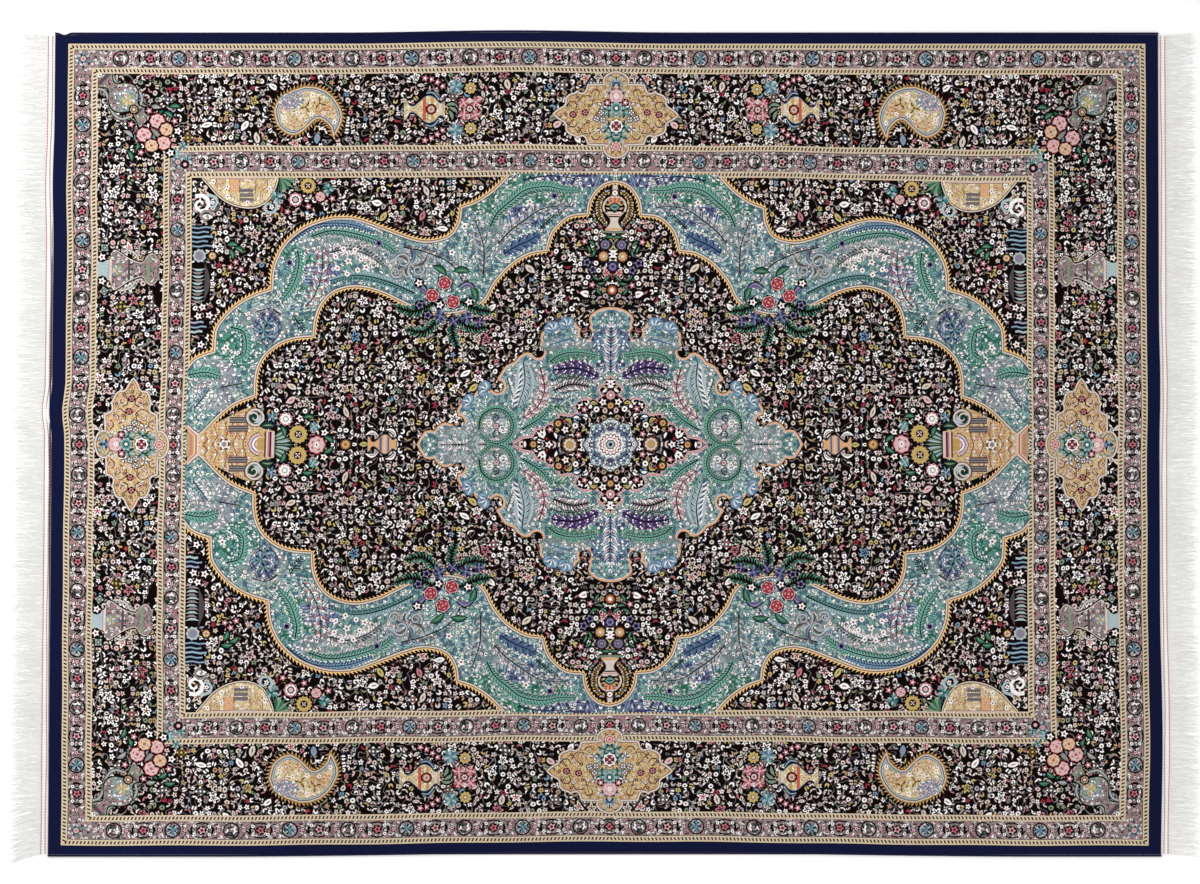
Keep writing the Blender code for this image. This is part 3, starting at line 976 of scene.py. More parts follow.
@dataclass
class MainBorder:
    """The wide border: its vine ground, cartouches, paisleys, vases and corner bouquets."""

    layout: BorderLayout

    def paint(self, cartoon: Cartoon) -> None:
        """Lays the dark vine ground."""
        cartoon.ground(frame_shape(*self.layout.outer_guard_in), Dye.VINE, Zone.BORDER)

    def paint_over(self, cartoon: Cartoon) -> None:
        """Paints what stands on the ground and may lap over the guards beside it."""
        Paisley().paint(cartoon)
        Cartouche(327.5j, 0.0, 1 + 1j, Dye.STRAW).paint(cartoon)
        Cartouche(474.8 + 0j, -math.pi / 2, 1.05 + 0.84j, Dye.BLUSH).paint(cartoon)
        self._small_vase(cartoon)
        self._side_vase(cartoon)
        self._corner(cartoon)

    def _handles(
        self, cartoon: Cartoon, routes: Sequence[Sequence[complex]], zone: Zone, dye: Dye, width: float
    ) -> None:
        """Paints curved handles, each a light line in a dark one with barbs outside."""
        for route in routes:
            curve = smooth(route, 3)
            cartoon.line(curve, zone, ((width + 1.6, Dye.COAL), (width, dye), (width * 0.34, Dye.MIST)))
            places, headings = spaced(curve, 4.0)
            for place, heading in zip(places, headings):
                for side in (-1, 1):
                    start = place + side * 0.5j * width * np.exp(1j * heading)
                    cartoon.paint(leaf(2.8, 1.6, 0, 2), dye, zone, start, heading + side)

    def _small_vase(self, cartoon: Cartoon) -> None:
        """Paints the small gold vase that lies along the border, and the flowers at its mouth."""
        zone, axis = Zone.BORDER, 332.8j
        handles = [[186.6 + 16j * k + axis, 180 + 16.5j * k + axis, 175 + 10.5j * k + axis] for k in (-1, 1)]
        self._handles(cartoon, handles, zone, Dye.STEEL, 2.0)
        bands = ((0.46, 0.54, Dye.CORAL), (0.66, 0.72, Dye.GOLD), (0.86, 0.93, Dye.CREAM))
        Vase(40.0, ROUND_VASE, Dye.PALE_GILT, Dye.STEEL, bands).paint(cartoon, zone, 208.6 + axis, math.pi)
        Bouquet((
            (Leaf(5.5, 3.4, 0.1, Dye.SAGE, Dye.TEAL), (162 + 4j, 160.5 - 1j, 163 - 6j)),
            (Rosette(4.4, 7, (Dye.CORAL, Dye.CREAM, Dye.GREY)), (182 + 0j,)),
            (Frond(7.4, (Dye.ROSE, Dye.CRIMSON, Dye.BLUSH)), (150 + 6j, 150 - 6j, 138.5 + 6j, 138.5 - 6j)),
            (Ring(3.0, Dye.BLUSH, Dye.CRIMSON), (144.3 + 0j,)),
            (TEAL_PALMETTE, (158 + 22.5j, 158 - 21j)),
            (DAISY, (143.5 + 20.5j, 143.5 - 19.5j)),
            (PINK_FLORET,
             (171 + 23j, 176 + 27j, 182 + 30j, 188 + 31j, 171 - 21j, 176 - 25j, 182 - 29j, 188 - 31j)),
            (BUD, (192 + 24j, 192 - 24j, 131 + 14j, 131 - 14j)),
        )).paint(cartoon, zone, axis)

    def _side_vase(self, cartoon: Cartoon) -> None:
        """Paints the ewer that lies across the border's short side."""
        zone, axis = Zone.BORDER, 173.5j
        self._handles(
            cartoon,
            (
                (490.2 + 190.3j, 482 + 193j, 474 + 188j, 472 + 182j, 467.8 + 180.1j),
                (498.3 + 157.5j, 488 + 153j, 478 + 157j, 474 + 163j, 467.4 + 164.2j),
            ),
            zone, Dye.CREAM, 1.9,
        )
        bands = (
            (0.02, 0.2, Dye.MIST), (0.21, 0.25, Dye.CREAM), (0.50, 0.54, Dye.SMOKE), (0.80, 0.85, Dye.SAGE),
        )
        Vase(62.0, SLIM_VASE, Dye.SCROLLS, Dye.CREAM, bands).paint(cartoon, zone, 513.5 + axis, math.pi)
        Bouquet((
            (Frond(7.6, (Dye.STRAW, Dye.SKY, Dye.CREAM, Dye.SAGE), 11), (493 + 0j,)),
            (WHITE_FLORET, (507.7 + 12.8j, 507.2 - 11.1j)),
            (Checker(4.2, Dye.MIST, Dye.SAGE), (505 + 22j, 505 - 21j)),
            (Ring(2.6, Dye.BLUSH, Dye.CORAL), (497 + 27j, 487 + 28j, 496 - 27j, 486 - 28j)),
        )).paint(cartoon, zone, axis)

    def _corner(self, cartoon: Cartoon) -> None:
        """Paints the corner vase on the diagonal, with its roses over the guard's corner."""
        zone = Zone.BORDER | Zone.INNER_GUARD | Zone.CORNER
        self._handles(
            cartoon,
            (
                (497.1 + 367.7j, 494.7 + 361.6j, 487.2 + 356.5j, 478.8 + 355.6j, 471.2 + 351.7j,
                 467.8 + 344.7j, 468.8 + 337.6j, 464 + 333.7j, 458 + 335.8j),
                (510.9 + 354j, 504.8 + 351.5j, 501.3 + 344.4j, 499.4 + 335.3j, 495.1 + 327.3j,
                 488.2 + 323.3j, 480.3 + 325.4j),
            ),
            zone, Dye.GREY, 2.6,
        )
        profile = (
            (0.0, 0.14), (0.10, 0.12), (0.20, 0.05), (0.28, 0.08), (0.38, 0.19), (0.50, 0.24), (0.62, 0.19),
            (0.72, 0.07), (0.84, 0.09), (1.0, 0.16),
        )
        foot, heading = 508.5 + 366.5j, math.radians(180 + 44)
        bands = (
            (0.03, 0.09, Dye.SMOKE), (0.60, 0.64, Dye.MIST), (0.80, 0.84, Dye.SMOKE), (0.88, 0.92, Dye.SAGE),
        )
        Vase(63.0, profile, Dye.SCROLLS, Dye.SAGE, bands).paint(cartoon, zone, foot, heading)
        cartoon.paint(disc(11.5, 12), Dye.PALE_MEADOW, zone, 483.6 + 342.4j)
        Frond(8.8, (Dye.STRAW, Dye.SAGE, Dye.CREAM, Dye.SAND), 13).paint(cartoon, zone, 482.0 + 342j)
        for k in range(9):
            out = heading + (k - 4) * 0.36
            dye = (Dye.GREEN, Dye.GREY, Dye.TEAL)[k % 3]
            place = 464 + 319.5j + 6 * np.exp(1j * out)
            cartoon.paint(leaf(17, 6.4, 0.05, 4), Dye.COAL, zone, place, out)
            cartoon.paint(leaf(15.5, 4.6, 0.05, 4), dye, zone, place, out)
        Bouquet((
            (Rosette(4.0, 7, (Dye.SAND, Dye.BROWN, Dye.CREAM)), (476 + 333j,)),
            (GREY_LEAF, (454.6 + 334.9j, 482.3 + 308.3j)),
            (GREEN_LEAF, (435.4 + 336.2j, 442 + 328j, 480.6 + 286.4j, 474 + 295j)),
            (Frond(6.0, (Dye.TEAL, Dye.MIST, Dye.SPRUCE)), (428.4 + 297j, 424 + 284j)),
            (Rose(8.0), (453.1 + 321.8j, 466.6 + 307.6j)),
            (Rose(7.4, Dye.BLUSH, Dye.CORAL), (447.4 + 299.9j,)),
            (Rose(6.8, Dye.CORD, Dye.CORAL, Dye.CORAL), (444.4 + 313.5j, 459.5 + 297j)),
            (PINK_FLORET, (436 + 322j, 470 + 290j, 461 + 332j, 479 + 318j)),
            (Frond(6.6, (Dye.TEAL, Dye.JADE, Dye.MIST)), (426.5 + 278.4j, 435 + 289j)),
            (Rosette(3.4, 6, (Dye.WINE, Dye.BLUSH)), (426.5 + 278.4j,)),
            (WHITE_FLORET, (441 + 290j, 433 + 312j, 455 + 287j)),
        )).paint(cartoon, zone)


# ---------------------------------------------------------------- the field


GREENS = (Dye.GREEN, Dye.SPRUCE)
GREYS = (Dye.SMOKE, Dye.STEEL, Dye.MIST)
WHITES = (Dye.IVORY, Dye.MIST, Dye.BLUSH)
WIDE_BARBS = (3.0, 1.6, 0.8)  # of a plume: pitch, width and slant
FINE_BARBS = (2.6, 1.5, 0.8)


def green_plume(barb: float, bead: Dye | None, weave: tuple[float, float, float] = WIDE_BARBS) -> Plume:
    """A green plume on a lighter green."""
    return Plume(barb, GREENS, Dye.COAL, bead, *weave, Dye.JADE)


def pale_plume(barb: float, dyes: tuple[Dye, ...], spine: Dye, bead: Dye | None) -> Plume:
    """A plume on a pale grey-green."""
    return Plume(barb, dyes, spine, bead, *WIDE_BARBS, Dye.PALE_MEADOW)


class FieldLines:
    """The scalloped lines that part the field's corners, its blue-green band and its dark middle."""

    outer_arcs = (
        (422 + 75j, 414.8 + 83.6j, 406 + 88j, 395 + 91.5j),
        (395 + 91.5j, 394.5 + 106j, 392 + 117j, 378 + 134j, 360 + 146j, 338 + 153.5j),
        (338 + 153.5j, 336.5 + 175j, 327 + 196j, 310 + 212j, 289 + 221j, 270 + 224j, 251 + 222j, 226 + 213j,
         199 + 203j, 181 + 200.5j, 162 + 206j, 153 + 220j, 151 + 234.5j),
        (151 + 234.5j, 136 + 240j, 119 + 252j, 104 + 268j),
    )
    inner_arcs = (
        (0 + 261.5j, 11 + 258.5j, 20 + 250.5j, 25.5 + 240j, 27 + 228.5j),
        (27 + 228.5j, 40 + 227.5j, 50 + 223j, 62 + 210j, 67.5 + 192.5j),
        (67.5 + 192.5j, 84 + 190j, 103 + 178.5j, 118 + 161j, 126 + 145j, 138 + 136j, 160 + 130j, 185 + 132j,
         208 + 142j, 226 + 151j, 244 + 156.5j, 261 + 157j, 279 + 150.5j, 291 + 137j, 296 + 122j,
         297 + 107.5j),
        (297 + 107.5j, 315 + 106j, 331 + 100.5j, 345 + 89j, 352 + 76j, 354.5 + 62j, 354.5 + 48.5j),
        (354.5 + 48.5j, 366.8 + 44.1j, 377.8 + 38.6j, 387.7 + 30.7j, 397.5 + 20.8j, 404.4 + 13.8j,
         408.4 + 9.9j),
        (408.4 + 9.9j, 414 + 13.6j, 420 + 19.5j),
    )

    def __init__(self) -> None:
        """Works out both lines once."""
        self.outer = scallops(self.outer_arcs)
        self.inner = scallops(self.inner_arcs)

    def band_shape(self) -> Shape:
        """All that lies inside the outer line."""
        return np.concatenate([self.outer, [30 + 268j, 268j, 0j, 422 + 0j]])

    def middle_shape(self) -> Shape:
        """All that lies inside the inner line."""
        return np.concatenate([self.inner, [420 + 0j, 0j]])


@dataclass
class Corners:
    """The dark corners of the field with the ornaments that grow from their edges."""

    layout: BorderLayout

    def paint(self, cartoon: Cartoon) -> None:
        """Paints the ground, the half vase on the long guard and the column on the short one."""
        cartoon.ground(frame_shape(*self.layout.inner_guard_in), Dye.VINE, Zone.CORNER)
        self._hanging_vase(cartoon)
        self._column(cartoon)

    def _hanging_vase(self, cartoon: Cartoon) -> None:
        """Paints the gold half vase that hangs from the guard, with a green fan and flowers."""
        zone = Zone.CORNER
        bowl = smooth(
            (411 + 268j, 402 + 258j, 391 + 246j, 376 + 238j, 358 + 236j, 344 + 243j, 337 + 255j, 333 + 268j),
            3,
        )
        cartoon.layers(
            bowl[::-1], zone,
            ((3.0, Dye.COAL), (1.6, Dye.CREAM), (0.4, Dye.BROWN), (-0.4, Dye.PALE_GILT)),
        )
        for width, low, dye in (
            (9, 391 + 256j, Dye.GILT), (9, 377 + 250j, Dye.APRICOT), (12, 350 + 250j, Dye.GILT),
        ):
            bar = np.array([complex(low.real, 268), low])
            cartoon.line(bar, zone, ((width + 1, Dye.BROWN), (width, dye)))
        for k in range(3):
            slat = np.array([372, 358]) + 1j * (243 + 4.6 * k)
            cartoon.line(slat, zone, ((3.6, Dye.SMOKE), (2.4, Dye.GREY), (0.9, Dye.SMOKE)))
        rim = np.array([402 + 265j, 368 + 264.6j, 337 + 265j])
        cartoon.line(rim, zone, ((2.6, Dye.BROWN), (1.6, Dye.BLUSH)))
        Bouquet((
            (Checker(2.6, Dye.CREAM, Dye.CORAL),
             (391 + 259j, 377 + 256j, 350 + 256j, 377 + 248j, 350 + 247j, 364 + 260j)),
            (Blossom(3.0, 5, Dye.IVORY, Dye.BROWN),
             (384 + 246j, 384 + 256j, 342 + 254j, 398 + 261j, 364 + 240j)),
        ), 0.0).paint(cartoon, zone)
        for place, turn in ((400 + 240j, 0.5), (342 + 236j, 2.4)):
            cartoon.paint(scroll(8.5, 1.1, 3.4), Dye.MIST, zone, place, turn)
        for k in range(7):
            dye = Dye.SAGE if k % 2 else Dye.GREEN
            cartoon.paint(leaf(16, 3.4, 0, 3), dye, zone, 331 + 264j, math.pi + 0.3 * (k - 1))
        Bouquet((
            (Rosette(8.4, 13, (Dye.GOLD, Dye.STRAW, Dye.GOLD, Dye.BROWN, Dye.BLUSH), 0.82), (303 + 257j,)),
            (Checker(2.4, Dye.IVORY, Dye.CRIMSON), (303 + 257j,)),
            (Rosette(7.6, 8, (Dye.ROSE, Dye.IVORY, Dye.SMOKE, Dye.BLUSH)), (316 + 243j,)),
            (Rose(5.5), (291 + 246j,)),
            (Frond(8.0, (Dye.LAGOON, Dye.TEAL, Dye.MIST, Dye.SPRUCE)), (335 + 246j, 283 + 254j)),
            (PINK_FLORET, (303 + 236j, 324 + 231j, 279 + 244j)),
        )).paint(cartoon, zone)

    def _column(self, cartoon: Cartoon) -> None:
        """Paints the run of scrolls, bars and leaves down the guard's side of the corner."""
        zone, edge = Zone.CORNER, 419.6
        for low, high in ((108, 124), (140, 180), (193, 217)):
            block = np.array([1j * low, 1j * low - 19, 1j * high - 19, 1j * high])
            cartoon.paint(block, Dye.COAL, zone, edge + 0j)
        cartoon.paint(scroll(10.0, 1.3, 4.2, 12), Dye.IVORY, zone, edge - 9 + 238j, 1.0)
        cartoon.paint(scroll(7.0, -1.2, 3.0, 10), Dye.GREY, zone, edge - 14 + 226j, 3.0)
        bars = (
            (215, 20, Dye.STEEL), (210.4, 17, Dye.STEEL), (205.8, 21, Dye.SKY), (201.2, 16, Dye.STEEL),
            (196.6, 20, Dye.STEEL), (121, 13, Dye.LAVENDER), (116.4, 16, Dye.STEEL), (111.8, 12, Dye.MIST),
        )
        for height, width, dye in bars:
            bar = np.array([0, -width / 3 - 0.8j, -width * 0.7 + 0.6j, -width])
            cartoon.line(bar, zone, ((3.0, Dye.MIDNIGHT), (2.2, dye), (0.7, Dye.MIST)), complex(edge, height))
        for k in range(10):
            dye = Dye.MIST if k % 2 else Dye.GREY
            cartoon.paint(leaf(14 - k % 3, 2.5, 0.15, 3), dye, zone, complex(edge, 143 + 3.5 * k), math.pi)
        cartoon.paint(leaf(38, 5.5, 0.08, 4), Dye.SMOKE, zone, edge - 13 + 142j, math.pi / 2)
        Bouquet((
            (Rosette(7.0, 9, (Dye.MIST, Dye.GREY, Dye.LAVENDER)), (412 + 186.9j,)),
            (GILT_ROSETTE, (399 + 187j,)),
            (WHITE_FLORET, (408 + 136j, 401 + 128j, 412 + 127j, 409 + 99j, 401 + 106j)),
            (Leaf(5.5, 4.6, 0.1, Dye.GREEN, Dye.SAGE), (379 + 198j, 372 + 193j, 380 + 189j)),
            (PINK_FLORET, (375.4 + 181j, 381 + 176j, 370 + 174j)),
        ), 1.0).paint(cartoon, zone)


@dataclass
class TealBand:
    """The blue-green band between the two scalloped lines, full of plumes and blossom."""

    lines: FieldLines

    def paint(self, cartoon: Cartoon) -> None:
        """Paints its ground, the plumes over it and its outer edging."""
        zone = Zone.BAND
        cartoon.ground(self.lines.band_shape(), Dye.MEADOW, zone)
        paint_patches(cartoon, zone, (
            (100 + 250j, 60 + 26j, Dye.GREEN_MEADOW), (300 + 190j, 30 + 40j, Dye.GREEN_MEADOW),
            (375 + 95j, 30 + 20j, Dye.GREEN_MEADOW), (88 + 226j, 20 + 12j, Dye.BLUE_MEADOW),
            (40 + 262j, 40 + 8j, Dye.BLUE_MEADOW), (290 + 168j, 24 + 12j, Dye.BLUE_MEADOW),
            (122 + 205j, 22 + 20j, Dye.PALE_MEADOW), (270 + 200j, 44 + 16j, Dye.PALE_MEADOW),
            (345 + 120j, 26 + 20j, Dye.PALE_MEADOW), (395 + 60j, 22 + 28j, Dye.PALE_MEADOW),
            (200 + 180j, 26 + 16j, Dye.PALE_MEADOW),
        ))
        self._plumes(cartoon)
        self._palmette(cartoon)
        Trim().paint(cartoon, Zone.BAND | Zone.CORNER, self.lines.outer, -1.0)

    def _plumes(self, cartoon: Cartoon) -> None:
        """Paints the branches that sweep through the band."""
        zone = Zone.BAND
        plumes = (
            (green_plume(9.0, Dye.BLUSH),
             (122.7 + 215.9j, 115.7 + 229.5j, 102 + 241.9j, 88.4 + 252j, 67.9 + 255.5j, 50.6 + 252.2j,
              35.7 + 252.3j)),
            (pale_plume(7.5, GREYS, Dye.COAL, Dye.BLUSH),
             (115 + 199.1j, 102.1 + 212.7j, 88.2 + 222.8j, 73.2 + 232.8j, 56.1 + 236.2j, 41.2 + 235.1j)),
            (Plume(10.0, (Dye.NAVY, Dye.LAVENDER, Dye.STEEL), Dye.NAVY, Dye.IVORY, halo=Dye.STEEL),
             (109.4 + 189j, 96.7 + 196.9j, 81.7 + 203.6j, 73.5 + 209.1j)),
            (Plume(3.6, (Dye.SPRUCE, Dye.COAL), Dye.COAL), (73.4 + 213.7j, 61.8 + 224.9j, 51.5 + 230.5j)),
            (pale_plume(10.5, GREYS, Dye.COAL, None),
             (128.8 + 169.4j, 128.8 + 194.3j, 133.1 + 210.1j, 137.6 + 221.4j)),
            (green_plume(8.5, Dye.IVORY), (313 + 192.3j, 311.4 + 178.6j, 317.1 + 158.3j, 328.3 + 143.5j)),
            (Plume(8.5, (Dye.IVORY, Dye.ROSE, Dye.MIST), Dye.SPRUCE, Dye.CRIMSON, 3.0, 2.0),
             (304.9 + 136.5j, 295.2 + 148.6j, 287.9 + 171.8j, 288.1 + 192.2j)),
            (Plume(5.5, (Dye.SPRUCE, Dye.COAL), Dye.COAL), (317.3 + 128.5j, 312 + 120j, 306 + 112j)),
            (green_plume(8.0, Dye.BLUSH), (300 + 206j, 278 + 212j, 250 + 208j, 224 + 198j, 212 + 186j)),
            (Plume(7.0, (Dye.SPRUCE, Dye.IVORY), Dye.COAL, Dye.BLUSH, 3.2, 1.6, 0.8, Dye.PALE_MEADOW),
             (280 + 190j, 262 + 194j, 242 + 188j, 228 + 178j)),
            (Plume(6.0, (Dye.STEEL, Dye.NAVY), Dye.NAVY, Dye.IVORY, 3.0, 1.6, 0.8, Dye.SKY),
             (322 + 200j, 296 + 217j, 264 + 219j, 236 + 211j)),
            (green_plume(8.0, Dye.IVORY), (380 + 116.5j, 366.2 + 111j, 364.3 + 90.4j, 376.5 + 82.2j)),
            (Plume(5.0, (Dye.SMOKE, Dye.MIST), Dye.COAL), (329.6 + 128.6j, 340.7 + 134.8j, 354 + 132j)),
            (green_plume(8.0, None), (421.4 + 69j, 403.7 + 71.6j, 388.6 + 67.3j)),
            (pale_plume(6.0, GREYS, Dye.COAL, None), (388.3 + 56.4j, 366.5 + 60.3j)),
            (pale_plume(6.0, (Dye.STEEL, Dye.IVORY), Dye.NAVY, None), (414 + 36j, 406 + 46j, 399 + 56j)),
            (Plume(7.0, (Dye.SMOKE, Dye.MIST), Dye.COAL, Dye.LAVENDER, 3.0, 1.6),
             (208 + 196j, 184 + 190j, 160 + 178j, 148 + 160j)),
            (Plume(6.5, (Dye.SPRUCE, Dye.MIST), Dye.COAL, None, 3.0, 1.6, 0.8, Dye.TEAL),
             (196 + 150j, 226 + 163j, 254 + 168j, 280 + 162j)),
            (Plume(5.5, (Dye.STEEL, Dye.NAVY, Dye.IVORY), Dye.NAVY), (92 + 262j, 66 + 266j, 40 + 264j)),
        )
        for plume, route in plumes:
            plume.paint(cartoon, zone, route)
        drop = 343.1 + 113j
        drop_frond = Frond(8.5, (Dye.NAVY, Dye.TEAL, Dye.SMOKE, Dye.MIST, Dye.STEEL), 17)
        cartoon.layers(leaf(38, 27, 0, 6) * 1j - 16j, zone, ((1.0, Dye.SMOKE), (0.2, Dye.BLUE_MEADOW)), drop)
        for spot in (7j, -6j, 3 + 0j):
            drop_frond.paint(cartoon, zone, drop + spot)
        Bouquet((
            (Ring(2.7, Dye.IVORY, Dye.CRIMSON), tuple(262 + 182j + spot for spot in round_about(13, 7, 0.3))),
            (WHITE_FLORET,
             (262 + 182j, 244 + 176j, 336 + 166j, 160 + 190j, 148 + 216j, 84 + 240j, 384 + 96j)),
            (STAR_FLOWER, (170.5 + 143j, 232 + 200j, 321 + 180j, 60 + 246j)),
        ), 0.0).paint(cartoon, zone)

    def _palmette(self, cartoon: Cartoon) -> None:
        """Paints the white and grey palmette that swirls at the waist of the band."""
        zone, centre = Zone.BAND, 202 + 178j
        paint_patches(cartoon, zone, ((centre, 24 + 15j, Dye.PALE_MEADOW),))
        for k in range(15):
            dye = (Dye.MIST, Dye.SMOKE, Dye.GREY, Dye.SMOKE, Dye.STEEL)[k % 5]
            cartoon.paint(leaf(23 - 5 * (k % 3), 2.4, 0.3, 4), dye, zone, centre, 0.42 * k)
        for at, radius, turn in ((6 + 4j, 8.0, 0.4), (-9 - 5j, 6.4, 2.4), (13 - 7j, 5.6, 4.0)):
            cartoon.paint(scroll(radius, 1.3, 3.6, 13), Dye.SMOKE, zone, centre + at, turn)
            cartoon.paint(scroll(radius, 1.3, 2.0, 13), Dye.MIST, zone, centre + at, turn)


@dataclass
class Middle:
    """The dark middle of the field, with its vases, flowers and edging."""

    lines: FieldLines

    def paint(self, cartoon: Cartoon) -> None:
        """Paints the ground and what stands on it."""
        cartoon.ground(self.lines.middle_shape(), Dye.VINE, Zone.FIELD)
        Trim(tooth=2.7).paint(cartoon, Zone.FIELD | Zone.BAND, self.lines.inner, -1.0)
        self._arch_vase(cartoon)
        self._end_vase(cartoon)
        self._rose_cluster(cartoon)

    def _arch_vase(self, cartoon: Cartoon) -> None:
        """Paints the wreathed vase under the arch and the column of flowers that hangs from it."""
        zone = Zone.FIELD
        wreath = (9 + 250j, 14.5 + 243j, 15.8 + 235j, 14 + 226j, 8.5 + 219j)
        cartoon.line(smooth(wreath, 3), zone, ((9.5, Dye.COAL),))
        Plume(4.4, (Dye.STRAW, Dye.GOLD, Dye.CREAM), Dye.BROWN, None, 2.4, 1.8).paint(cartoon, zone, wreath)
        profile = (
            (0.0, 0.19), (0.06, 0.17), (0.16, 0.09), (0.27, 0.09), (0.40, 0.20), (0.52, 0.24), (0.64, 0.19),
            (0.76, 0.08), (1.0, 0.045),
        )
        bands = (
            (0.02, 0.07, Dye.APRICOT), (0.30, 0.33, Dye.COAL), (0.35, 0.37, Dye.ROSE), (0.40, 0.66, Dye.COAL),
            (0.68, 0.72, Dye.CORAL), (0.76, 0.78, Dye.COAL),
        )
        Vase(46.0, profile, Dye.CREAM, Dye.BROWN, bands).paint(cartoon, zone, 211.5j, math.pi / 2)
        cartoon.line(np.array([13 + 211j, 0 + 210.4j]), zone, ((2.6, Dye.SMOKE), (1.4, Dye.SAGE)))
        for k in range(7):
            dye = Dye.CORAL if k % 2 else Dye.APRICOT
            cartoon.paint(leaf(7.0, 2.4, 0.0, 3), dye, zone, 238.6j, (k - 3) * 0.42 + math.pi / 2)
        for place, dye in ((9 + 235j, Dye.APRICOT), (7.6 + 231j, Dye.CREAM), (9.4 + 239j, Dye.GOLD)):
            cartoon.paint(leaf(6.4, 2.2, 0.2, 3), dye, zone, place, math.pi)
        spout = (10.4 + 231j, 11.4 + 236j, 9.6 + 241.4j, 5 + 245.4j)
        cartoon.line(smooth(spout, 3), zone, ((1.3, Dye.CREAM),))
        Bouquet((
            (Leaf(5.0, 7.0, 0.0, Dye.TEAL, Dye.SPRUCE), (235.4j,)),
            (Ring(2.8, Dye.IVORY, Dye.CORAL), (249.5j,)),
            (Rosette(5.6, 8, (Dye.SMOKE, Dye.LAVENDER, Dye.PLUM, Dye.GREY)), (8.2 + 198j,)),
            (Rosette(6.2, 9, (Dye.BROWN, Dye.APRICOT, Dye.GOLD, Dye.CREAM), 0.78), (9.6 + 186.4j,)),
            (Tulip(4.4, Dye.IVORY, Dye.ROSE), (189j,)),
            (Rosette(5.4, 7, (Dye.PLUM, Dye.LAVENDER, Dye.PLUM)), (176.3j,)),
            (STAR_FLOWER, (20 + 173j, 26 + 180j)),
            (Ring(2.5, Dye.IVORY, Dye.COAL), (17.9 + 211j, 17.9 + 204.3j, 17 + 179.5j, 14 + 172.4j)),
            (Rosette(5.6, 7, (Dye.BROWN, Dye.CORAL, Dye.APRICOT, Dye.IVORY)), (153j,)),
            (Leaf(4.6, 2.6, 0.1, Dye.GREEN, Dye.SAGE),
             (4 + 205j, 22 + 199j, 25 + 193j, 20 + 190j, 6 + 165j, 11 + 160j, 16 + 165j, 13 + 152j)),
            (PINK_FLORET, (29 + 201j, 20 + 158j)),
        ), 1.0).paint(cartoon, zone, 0j)

    def _end_vase(self, cartoon: Cartoon) -> None:
        """Paints the large vase that lies in the pointed end of the middle, and its bouquet."""
        zone = Zone.FIELD
        body = (
            408.2 + 8j, 398 + 16j, 379.6 + 26j, 362.7 + 34j, 354 + 34j, 347 + 28j, 349 + 20j, 345.5 + 14j,
            334.6 + 12.5j,
        )
        shape = smooth(body, 3)
        cartoon.layers(
            np.concatenate([np.conj(shape[::-1]), shape])[::-1], zone,
            ((1.8, Dye.COAL), (0.8, Dye.CREAM), (-0.6, Dye.BROWN), (-1.2, Dye.GILT)),
        )
        foot = np.array([409 - 9j, 421 - 20j, 421 + 20j, 409 + 9j])
        for shrink, dye in (
            (0, Dye.CREAM), (1.6, Dye.CORAL), (3.2, Dye.CREAM), (4.6, Dye.GOLD), (6.6, Dye.ROSE),
            (8.4, Dye.GOLD),
        ):
            cartoon.paint(foot + shrink, dye, zone)
        fill = (Dye.CREAM, Dye.CORAL, Dye.STRAW, Dye.ROSE, Dye.IVORY, Dye.GOLD)
        for row in range(15):
            over = 405.5 - 3.3 * row
            half = np.interp(-over, -shape.real[:20], shape.imag[:20]) - 2.6
            for col in range(int(half / 3.3) + 1):
                knot = disc(1.25, 4) if row % 3 else star(1.7, 0.7, 4)
                up = 3.3 * (col + 0.5 * (row % 2))
                cartoon.paint(knot, fill[(row + 2 * col) % 6], zone, complex(over, up), 0.4)
            if row % 3 == 1 and half > 3:
                chevron = np.array([over + 3 + 0j, over - 2 + 0.5j * half, over + 1 + 1j * half])
                cartoon.line(chevron, zone, ((0.8, Dye.BROWN),))
        tablet = ((6.2, Dye.BROWN), (5.0, Dye.SMOKE), (3.4, Dye.GREY), (1.4, Dye.SMOKE))
        for place in (369.6 + 23.9j, 370.4 + 15.3j):
            cartoon.line(np.array([-9.5, 9.5]) + place, zone, tablet)
        Rosette(6.8, 6, (Dye.BROWN, Dye.IVORY, Dye.STRAW, Dye.LAVENDER), 0.7).paint(cartoon, zone, 384 + 0j)
        lens = np.array([11 + 0j, 8.6 + 6j, 5 + 10j, 0 + 12j, 0 + 0j])
        for size, dye in (
            (1.0, Dye.BROWN), (0.92, Dye.BLUSH), (0.74, Dye.LAVENDER), (0.6, Dye.IVORY), (0.44, Dye.ROSE),
            (0.3, Dye.CREAM),
        ):
            cartoon.paint(lens * size, dye, zone, 350 + 0j)
        stripes = (
            (351.5, 6, Dye.GOLD), (344.3, 12.5, Dye.BROWN), (342.6, 12.5, Dye.CREAM), (341, 12.5, Dye.ROSE),
            (339.2, 12.5, Dye.WINE), (337.4, 12.5, Dye.BLUSH), (335.8, 12, Dye.CREAM),
        )
        for start, half, dye in stripes:
            cartoon.paint(np.array([start + 0j, start + 1j * half, 334.4 + 1j * half, 334.4 + 0j]), dye, zone)
        cartoon.paint(np.array([334.4 + 0j, 334.4 + 12.5j, 321 + 19j, 316 + 10j, 315 + 0j]), Dye.COAL, zone)
        for k in range(11):
            dye = (Dye.SAGE, Dye.SPRUCE, Dye.MIST)[k % 3]
            cartoon.paint(leaf(18 - 0.3 * k, 2.0, 0, 3), dye, zone, 334 + 0.9j * k, math.pi - k * 0.07)
        volute = 353.6 + 26.4j
        for radius, dye in ((9.8, Dye.COAL), (9.0, Dye.CREAM), (7.2, Dye.GREY), (6.2, Dye.SPRUCE)):
            cartoon.paint(disc(radius, 14), dye, zone, volute)
        cartoon.paint(leaf(11, 5.0, 0.3, 4) - 5.5, Dye.MIST, zone, volute - 1.5 - 1j, 2.2)
